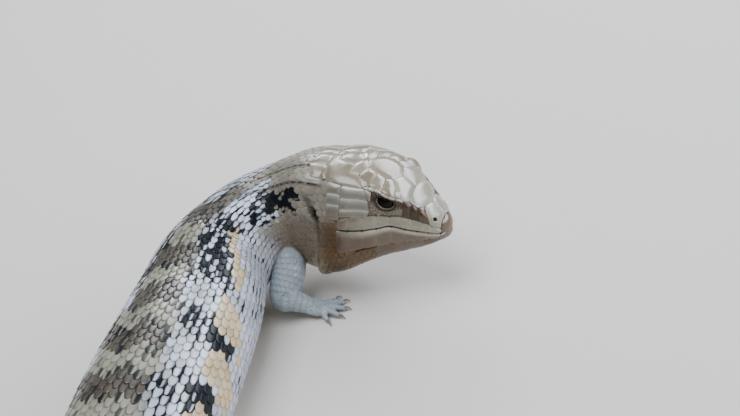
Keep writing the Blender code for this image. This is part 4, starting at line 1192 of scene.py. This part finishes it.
def lidPlace(side):  # flat millimetres in the plane of the eye, met from outside
    centre, forward, upward, normal = features["eye", side]
    def place(flat):
        starts = centre + forward * flat[:, :1] + upward * flat[:, 1:] + normal * 14
        hits = [headCaster.ray_cast(Vector(p), Vector(-normal)) for p in starts]
        points = np.array([tuple(h[0]) if h[0] else p - normal * 10 for h, p in zip(hits, starts)])
        outward = points - centre
        return points, outward / np.linalg.norm(outward, axis=1, keepdims=True)
    return place


def isInside(points, ring):
    x, y = points[:, :1], points[:, 1:]
    after = np.roll(ring, -1, 0)
    crosses = (ring[:, 1] > y) != (after[:, 1] > y)
    slope = (after[:, 0] - ring[:, 0]) / np.where(after[:, 1] == ring[:, 1], 1e-9, after[:, 1] - ring[:, 1])
    return (crosses & (x < slope * (y - ring[:, 1]) + ring[:, 0])).sum(1) % 2 == 1


def fromRim(points, ring):  # how far in from the rim each point lies
    along = np.roll(ring, -1, 0) - ring
    length = np.maximum((along ** 2).sum(1), 1e-12)
    away = points[:, None] - ring
    t = np.clip((away * along).sum(2) / length, 0, 1)
    return np.linalg.norm(away - t[..., None] * along, axis=2).min(1)


def drawIn(ring, depth):
    along = np.roll(ring, -1, 0) - np.roll(ring, 1, 0)
    along /= np.maximum(np.linalg.norm(along, axis=1, keepdims=True), 1e-9)
    return ring + np.stack([-along[:, 1], along[:, 0]], 1) * depth


def rimOf(outer, gap):  # evenly spaced points round a shield, its corners rounded
    after = np.roll(outer, -1, 0)
    if (outer[:, 0] * after[:, 1] - outer[:, 1] * after[:, 0]).sum() < 0:
        outer = outer[::-1]
    closed = np.vstack([outer, outer[:1]])
    lengths = np.r_[0, np.cumsum(np.linalg.norm(np.diff(closed, axis=0), axis=1))]
    count = max(int(lengths[-1] / shields["fine"]), 12)
    at = np.linspace(0, lengths[-1], count, endpoint=False)
    ring = np.stack([np.interp(at, lengths, closed[:, k]) for k in (0, 1)], 1)
    for turn in range(3):
        ring = 0.5 * ring + 0.25 * (np.roll(ring, 1, 0) + np.roll(ring, -1, 0))
    return drawIn(ring, gap)


def makeShield(outer, place, bold, extra=()):  # a domed plate: points, faces and how far in from its rim each lies
    ring = rimOf(outer, shields["gap"] * (bold if bold == 1 else 0))
    flat = [ring]
    for i, depth in enumerate(shields["rings"]):
        inner = drawIn(ring, depth)[:: 1 if i < 2 else 2]
        flat.append(inner[isInside(inner, ring) & (fromRim(inner, ring) > depth * 0.93)])
    low, high = ring.min(0), ring.max(0)
    step = shields["coarse"]
    x, y = np.meshgrid(np.arange(low[0], high[0], step), np.arange(low[1], high[1], step * 0.87))
    x = x + step / 2 * (np.arange(len(x)) % 2)[:, None]
    grid = np.stack([x.ravel(), y.ravel()], 1)
    if len(extra):
        grid = grid[np.linalg.norm(grid[:, None] - extra, axis=2).min(1) > 0.3]
        grid = np.vstack([grid, extra])
    grid = grid[isInside(grid, ring)]
    if len(grid):
        flat.append(grid[fromRim(grid, ring) > shields["rings"][-1] * 1.5])
    flat = np.concatenate(flat)
    loop = list(range(len(ring)))
    found = delaunay_2d_cdt([Vector(p) for p in flat], [], [loop], 1, 1e-6)
    flat = np.array([tuple(p) for p in found[0]])
    faces = [tuple(face) for face in found[2]]
    rim = [i for i, origins in enumerate(found[3]) if any(o < len(ring) for o in origins)]
    order = {min(found[3][i]): i for i in rim}
    rim = [order[i] for i in sorted(order)]
    depth = fromRim(flat, ring)
    points, normals = place(flat)
    edge = 1 - np.clip(depth / shields["edge"], 0, 1)
    high = 0.10 + bold * (shields["rise"] - 0.10) * np.sqrt(1 - edge ** 2)
    high += bold * shields["dome"] * ease(0, shields["domeReach"], depth)
    top = points + normals * high[:, None]
    foot = points[rim] - normals[rim] * shields["under"]
    start = len(flat)
    walls = [(rim[i], rim[i - 1], start + i - 1 if i else start + len(rim) - 1, start + i) for i in range(len(rim))]
    allDepths = np.r_[depth, np.zeros(len(rim))]
    allFlat = np.vstack([flat, flat[rim]])
    first = top[np.array(faces[0])]
    turned = np.cross(first[1] - first[0], first[2] - first[0]) @ normals[faces[0][0]] < 0
    if turned:
        faces = [face[::-1] for face in faces]
        walls = [wall[::-1] for wall in walls]
    return np.vstack([top, foot]), faces + walls, allDepths, allFlat


def mirrored(outer):
    return np.array([(s, -line) for s, line in outer])


def shieldOutlines():
    found = []
    for name, (look, keys) in shields["middle"].items():
        half = [corners[key] for key in keys.split()]
        fold = 0 if half[0][1] < 2 else 10
        found.append((name, look, half + [(s, fold - line) for s, line in half[-2:0:-1]], "skin"))
    for name, (look, keys) in shields["front"].items():
        half = [corners[key] for key in keys.split()]
        other = [(s, -line) for s, line in half[::-1]]
        found.append((name, look, half + (other[:-1] if half[0][1] == 0 else other[1:]), "front"))
    sides = [(name, look, [corners[key] for key in keys.split()]) for name, (look, keys) in shields["pairs"].items()]
    for kind, look, sign in (("upperLip", "lip", -1), ("lowerLip", "lowerLip", 1)):
        at, edge = shields[kind + "At"], shields[kind + "Edge"]
        for i in range(len(at) - 1):
            row = np.linspace(at[i], at[i + 1], 5)
            mouth = smoothThrough(head["mouthAt"], head["mouthLine"], row) + sign * shields["lipGap"]
            far = np.interp(row, at, edge)
            outer = list(zip(row, mouth)) + list(zip(row[::-1], far[::-1]))
            sides.append((kind + str(i + 1), look, outer))
    for name, look, outer in sides:
        found.append((name + "Left", look, list(outer), "skin"))
        found.append((name + "Right", look, [(s, -line) for s, line in outer], "skin"))
    return found


def nostrilPoints(side, scale):  # a finer net of points over the nostril
    s, line = head["nostrilAt"]
    rings = [(r * np.cos(a), r * np.sin(a)) for r in (0.3, 0.6, 0.85, 1.1, 1.35) for a in np.arange(0, 2 * pi, 0.5)]
    return np.array([(s * scale[0], side * line * scale[1])]) + np.array(rings)


def buildShields():
    points, faces, bake = [], [], []
    masks = {name: [] for name in shieldMasks + ("tone",)}
    start = 0
    for name, look, outer, chart in shieldOutlines():
        outer = np.array(outer, float)
        s0, line0 = outer.mean(0)
        at = np.array([s0, s0 + 0.4, s0])
        line = np.array([line0, line0, line0 + 0.05])
        p = plainSkin(at, line % 10)[0]
        scale = (np.linalg.norm(p[1] - p[0]) / 0.4, np.linalg.norm(p[2] - p[0]) / 0.05)
        if chart == "front":
            flat, place = flatFront(plainSkin(outer[:, 0], outer[:, 1] % 10)[0]), frontPlace
        else:
            flat, place = outer * scale, skinPlace(scale)
        side = 1 if name.endswith("Left") else -1
        extra = nostrilPoints(side, scale) if name.startswith("nasal") else ()
        bold = shields["soft"].get(look, 1.0)
        made = makeShield(flat, place, bold, extra)
        points.append(made[0])
        faces += [tuple(start + i for i in face) for face in made[1]]
        start += len(made[0])
        depth = made[2]
        amounts = dict(shields["looks"][look])
        middle = made[3] - made[3].mean(0)
        root = np.array([0.01 + 0.98 * s0 / body["length"], 0.01 + 0.98 * shareOf(s0, line0)])
        bake.append(root + 0.003 * middle / max(np.ptp(middle), 1e-6))
        tone = 0.94 + 0.12 * draw.random()
        station, lineNow = made[3][:, 0] / scale[0], np.abs(made[3][:, 1] / scale[1])
        for mask in shieldMasks:
            amount = amounts.get(mask, 0) * (0.8 + 0.4 * draw.random())
            values = np.full(len(depth), amount)
            # browner away from the mouth and towards the rear: partly the jaw's own brown, partly painted shade on its
            # underside
            if mask == "brown" and look == "lowerLip":
                fromMouth = lineNow - smoothThrough(head["mouthAt"], head["mouthLine"], station)
                values = values + 0.85 * ease(0.12, 0.40, fromMouth) + 0.75 * ease(27, 43, station)
            if mask in ("cream", "pale") and look == "lowerLip":
                fromMouth = lineNow - smoothThrough(head["mouthAt"], head["mouthLine"], station)
                values = values * (1 - 0.95 * ease(0.08, 0.34, fromMouth)) * (1 - 0.6 * ease(30, 44, station))
            if look == "temple":  # painted highlight along the upper edge, and painted shade over the lower face
                across = (lineNow - lineNow.min()) / np.ptp(lineNow)
                if mask == "pale":
                    values = values + 0.6 * (1 - ease(0.08, 0.34, across))
                if mask == "black":
                    values = values + 0.26 * ease(0.30, 0.62, across) * (1 - ease(0.84, 0.98, across))
            if mask == "brown" and look in ("lip", "temple"):
                values = values + (0.75 if look == "lip" else 0.4) * ease(28, 46, station) * ease(1.4, 2.2, lineNow)
            # a paler rim round each shield: painted highlight on its rounded edge
            if mask == "pale":
                values = values + 0.2 * bold * (1 - amounts.get("brown", 0)) * (1 - ease(0.1, 0.9, depth))
            # painted shade inside the nostrils
            if mask == "black" and name.startswith("nasal"):
                x, y, z = local(made[0], "nostril", side)
                wide, high = head["nostrilSize"]
                values = np.maximum(values, 1 - ease(0.7, 1.05, np.hypot(x / wide, y / high)))
            masks[mask].append(values)
        masks["tone"].append(np.full(len(depth), tone) * (1 - 0.14 * bold * (1 - ease(0, 0.35, depth))))
    piece = meshPiece("headShields", np.vstack(points), faces, {k: np.concatenate(v) for k, v in masks.items()},
                      materials["shields"], np.vstack(bake))
    return piece


eyes = {
    "radius": 4.7,
    "pupil": 1.75,
    "iris": 3.1,
    # rings of small scales round the opening: how far out, their size along and across
    "granules": ((0.36, 0.95, 0.80), (1.08, 1.20, 0.98), (1.96, 1.5, 1.12), (2.96, 1.8, 1.28), (4.1, 2.0, 1.4), (5.3, 2.1, 1.5)),
    "lidReach": (7.8, 3.4, 7.2),  # the lids' scales end so far fore and aft, above and below the eye's middle
}


def buildEyes():
    made = []
    for side in (1, -1):
        centre, forward, upward, normal = features["eye", side]
        bpy.ops.mesh.primitive_uv_sphere_add(segments=48, ring_count=32, radius=eyes["radius"] * mm)
        eye = newPrimitive("eyeLeft" if side > 0 else "eyeRight")
        turned = np.stack([forward, np.cross(normal, forward), normal])
        moveVertices(eye, lambda p: p @ turned + centre)
        away = verticesOf(eye) - centre
        front = away @ normal > 0
        out = np.linalg.norm(away - (away @ normal)[:, None] * normal, axis=1)
        for mask, size in (("iris", eyes["iris"]), ("pupil", eyes["pupil"])):
            values = np.where(front, 1 - ease(size - 0.25, size + 0.25, out), 0)
            eye.data.attributes.new(mask, "FLOAT", "POINT").data.foreach_set("value", values.astype(np.float32))
        eye.data.shade_smooth()
        eye.data.materials.append(materials["eye"])
        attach(eye, "root")
        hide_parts("eye_left" if side > 0 else "eye_right")
        made.append(eye)
    return made


def buildGranules():  # beads round both eyes
    turns = np.arange(10) / 10 * 2 * pi
    rings = ((0.0, 0.24), (0.45, 0.23), (0.8, 0.17), (1.02, 0.0), (1.08, -0.3))
    shape = [(0.0, 0.0, 0.24)]
    for reach, high in rings[1:]:
        shape += [(reach * cos(a), reach * sin(a), high) for a in turns]
    shape = np.array(shape)
    faces = [(0, 1 + i, 1 + (i + 1) % 10) for i in range(10)]
    for k in range(len(rings) - 2):
        low = 1 + 10 * k
        faces += [(low + i, low + 10 + i, low + 10 + (i + 1) % 10, low + (i + 1) % 10) for i in range(10)]
    faces = [tuple(f) for f in faces]
    points, shapes, bake = [], [], []
    masks = {name: [] for name in shieldMasks + ("tone",)}
    count = 0
    wide, high = head["opening"]
    for side in (1, -1):
        place = lidPlace(side)
        for k, (out, long, across) in enumerate(eyes["granules"]):
            turn = np.linspace(0, 2 * pi, 400, endpoint=False)
            rim = openingRim(turn)
            ring = drawIn(rim, -out)
            closed = np.vstack([ring, ring[:1]])
            reach = np.r_[0, np.cumsum(np.linalg.norm(np.diff(closed, axis=0), axis=1))]
            beads = int(reach[-1] / long)
            at = (np.arange(beads) + 0.5 * (k % 2)) / beads * reach[-1]
            middle = np.stack([np.interp(at, reach, closed[:, j]) for j in (0, 1)], 1)
            ahead = np.stack([np.interp(at + 0.2, reach, closed[:, j]) for j in (0, 1)], 1) - middle
            ahead /= np.linalg.norm(ahead, axis=1, keepdims=True)
            for m, way in zip(middle, ahead):
                aft, above, below = eyes["lidReach"]
                if m[1] > above or (m[0] / aft) ** 2 + (m[1] / (below if m[1] < 0 else 9)) ** 2 > 1:
                    continue
                size = 0.94 + 0.12 * draw.random()
                flat = m + shape[:, :1] * way * long * 0.52 * size
                flat = flat + shape[:, 1:2] * np.array((-way[1], way[0])) * across * 0.52 * size
                surface, outward = place(flat)
                points.append(surface + outward * (shape[:, 2:] * (0.8 if k == 0 else 1.0) - 0.02))
                shapes += [tuple(count + i for i in f) for f in faces]
                count += len(shape)
                upper = ease(-1.2, 0.8, m[1] + 0.35 * abs(m[0]) - 0.9)
                corner = np.exp(-((m[0] + 4.6) / 1.8) ** 2 - ((m[1] - 1.4) / 1.8) ** 2)
                rim = {"black": max(0.9 * (k == 0), 0.5 * (k == 1), 0.6 * corner), "brown": 0.9 * corner}
                for mask in shieldMasks:
                    low, up = (shields["looks"][look].get(mask, 0) for look in ("lid", "upperLid"))
                    amount = max(low * (1 - upper) + up * upper, rim.get(mask, 0))
                    masks[mask].append(np.full(len(shape), amount))
                masks["tone"].append(np.full(len(shape), 0.92 + 0.16 * draw.random()))
                s0, line0 = head["eyeAt"]
                root = np.array([0.01 + 0.98 * (s0 - m[0]) / body["length"], 0.01 + 0.98 * shareOf(s0, side * (line0 - m[1] / 10))])
                bake.append(root + 0.0015 * shape[:, :2])
    piece = meshPiece("lidScales", np.vstack(points), shapes, {k: np.concatenate(v) for k, v in masks.items()},
                      materials["shields"], np.vstack(bake))
    return piece


skin, trunkSurface, legParts = buildSkin()
print("skin:", len(skin.data.polygons), "faces")
scales = buildCoat()
headPlates = buildShields()
print("head shields:", len(headPlates.data.polygons), "faces")
legScales = buildLegScales()
claws = buildClaws()
eyeballs = buildEyes()
granules = buildGranules()
print("eyes and lids:", len(granules.data.polygons), "faces of small scales")

view = {"elevation": 36.0, "roll": 17.0, "turn": 66.86, "lens": 67.08, "place": (-0.34947, -0.26810, 0.39880)}


def addCamera():
    e, r, t = (radians(view[k]) for k in ("elevation", "roll", "turn"))
    across = Vector((cos(t), -sin(t), 0))
    ahead = Vector((sin(t), cos(t), 0))
    down = Vector((0, 0, -1))
    look = ahead * cos(e) + down * sin(e)
    over = ahead * sin(e) - down * cos(e)
    right = across * cos(r) - over * sin(r)
    up = across * sin(r) + over * cos(r)
    data = bpy.data.cameras.new("camera")
    made = bpy.data.objects.new("camera", data)
    bpy.context.collection.objects.link(made)
    data.lens = view["lens"]
    data.clip_start = 0.005
    made.matrix_world = Matrix.Translation(view["place"]) @ Matrix((right, up, -look)).transposed().to_4x4()
    bpy.context.scene.camera = made


def addStage():
    bpy.ops.mesh.primitive_plane_add(size=20.0, location=(0, 0, 0))
    floor = newPrimitive("floor")
    made, tree, shader = newMaterial("paleStudioFloor", {"Base Color": linear("#C9C6C0"), "Roughness": 0.9})
    floor.data.materials.append(made)
    lamps = {
        "overhead": ((0.05, 0.15, 1.2), (0.9, 0.9), 18.0, "#F4F8FF"),
        "far": ((1.02, -0.82, 0.70), (2.1, 0.5), 35.0, "#EEF4FF"),
        "behind": ((1.22, 0.42, 0.68), (0.5, 0.35), 9.0, "#F4F8FF"),
        "flank": ((-0.10, -1.30, 0.42), (0.8, 0.5), 8.0, "#F4F6FF"),
        "fill": ((-0.9, -0.1, 0.6), (0.8, 0.8), 2.0, "#FFF6EA"),
    }
    aim = Vector((0.03, -0.02, 0.03))
    for name, (place, size, power, colour) in lamps.items():
        data = bpy.data.lights.new(name, "AREA")
        data.shape = "RECTANGLE"
        data.size, data.size_y = size
        data.energy, data.color = power, linear(colour)[:3]
        lamp = bpy.data.objects.new(name, data)
        bpy.context.collection.objects.link(lamp)
        lamp.location = place
        lamp.rotation_euler = (aim - Vector(place)).to_track_quat("-Z", "Y").to_euler()
    world = bpy.data.worlds.new("studio")
    bpy.context.scene.world = world
    world.use_nodes = True
    world.node_tree.nodes["Background"].inputs[0].default_value = linear("#D8DEE6")
    world.node_tree.nodes["Background"].inputs[1].default_value = 0.24


addCamera()
addStage()

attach(skin, "root")
flesh = [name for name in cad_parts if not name.startswith("eye")]
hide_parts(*flesh)
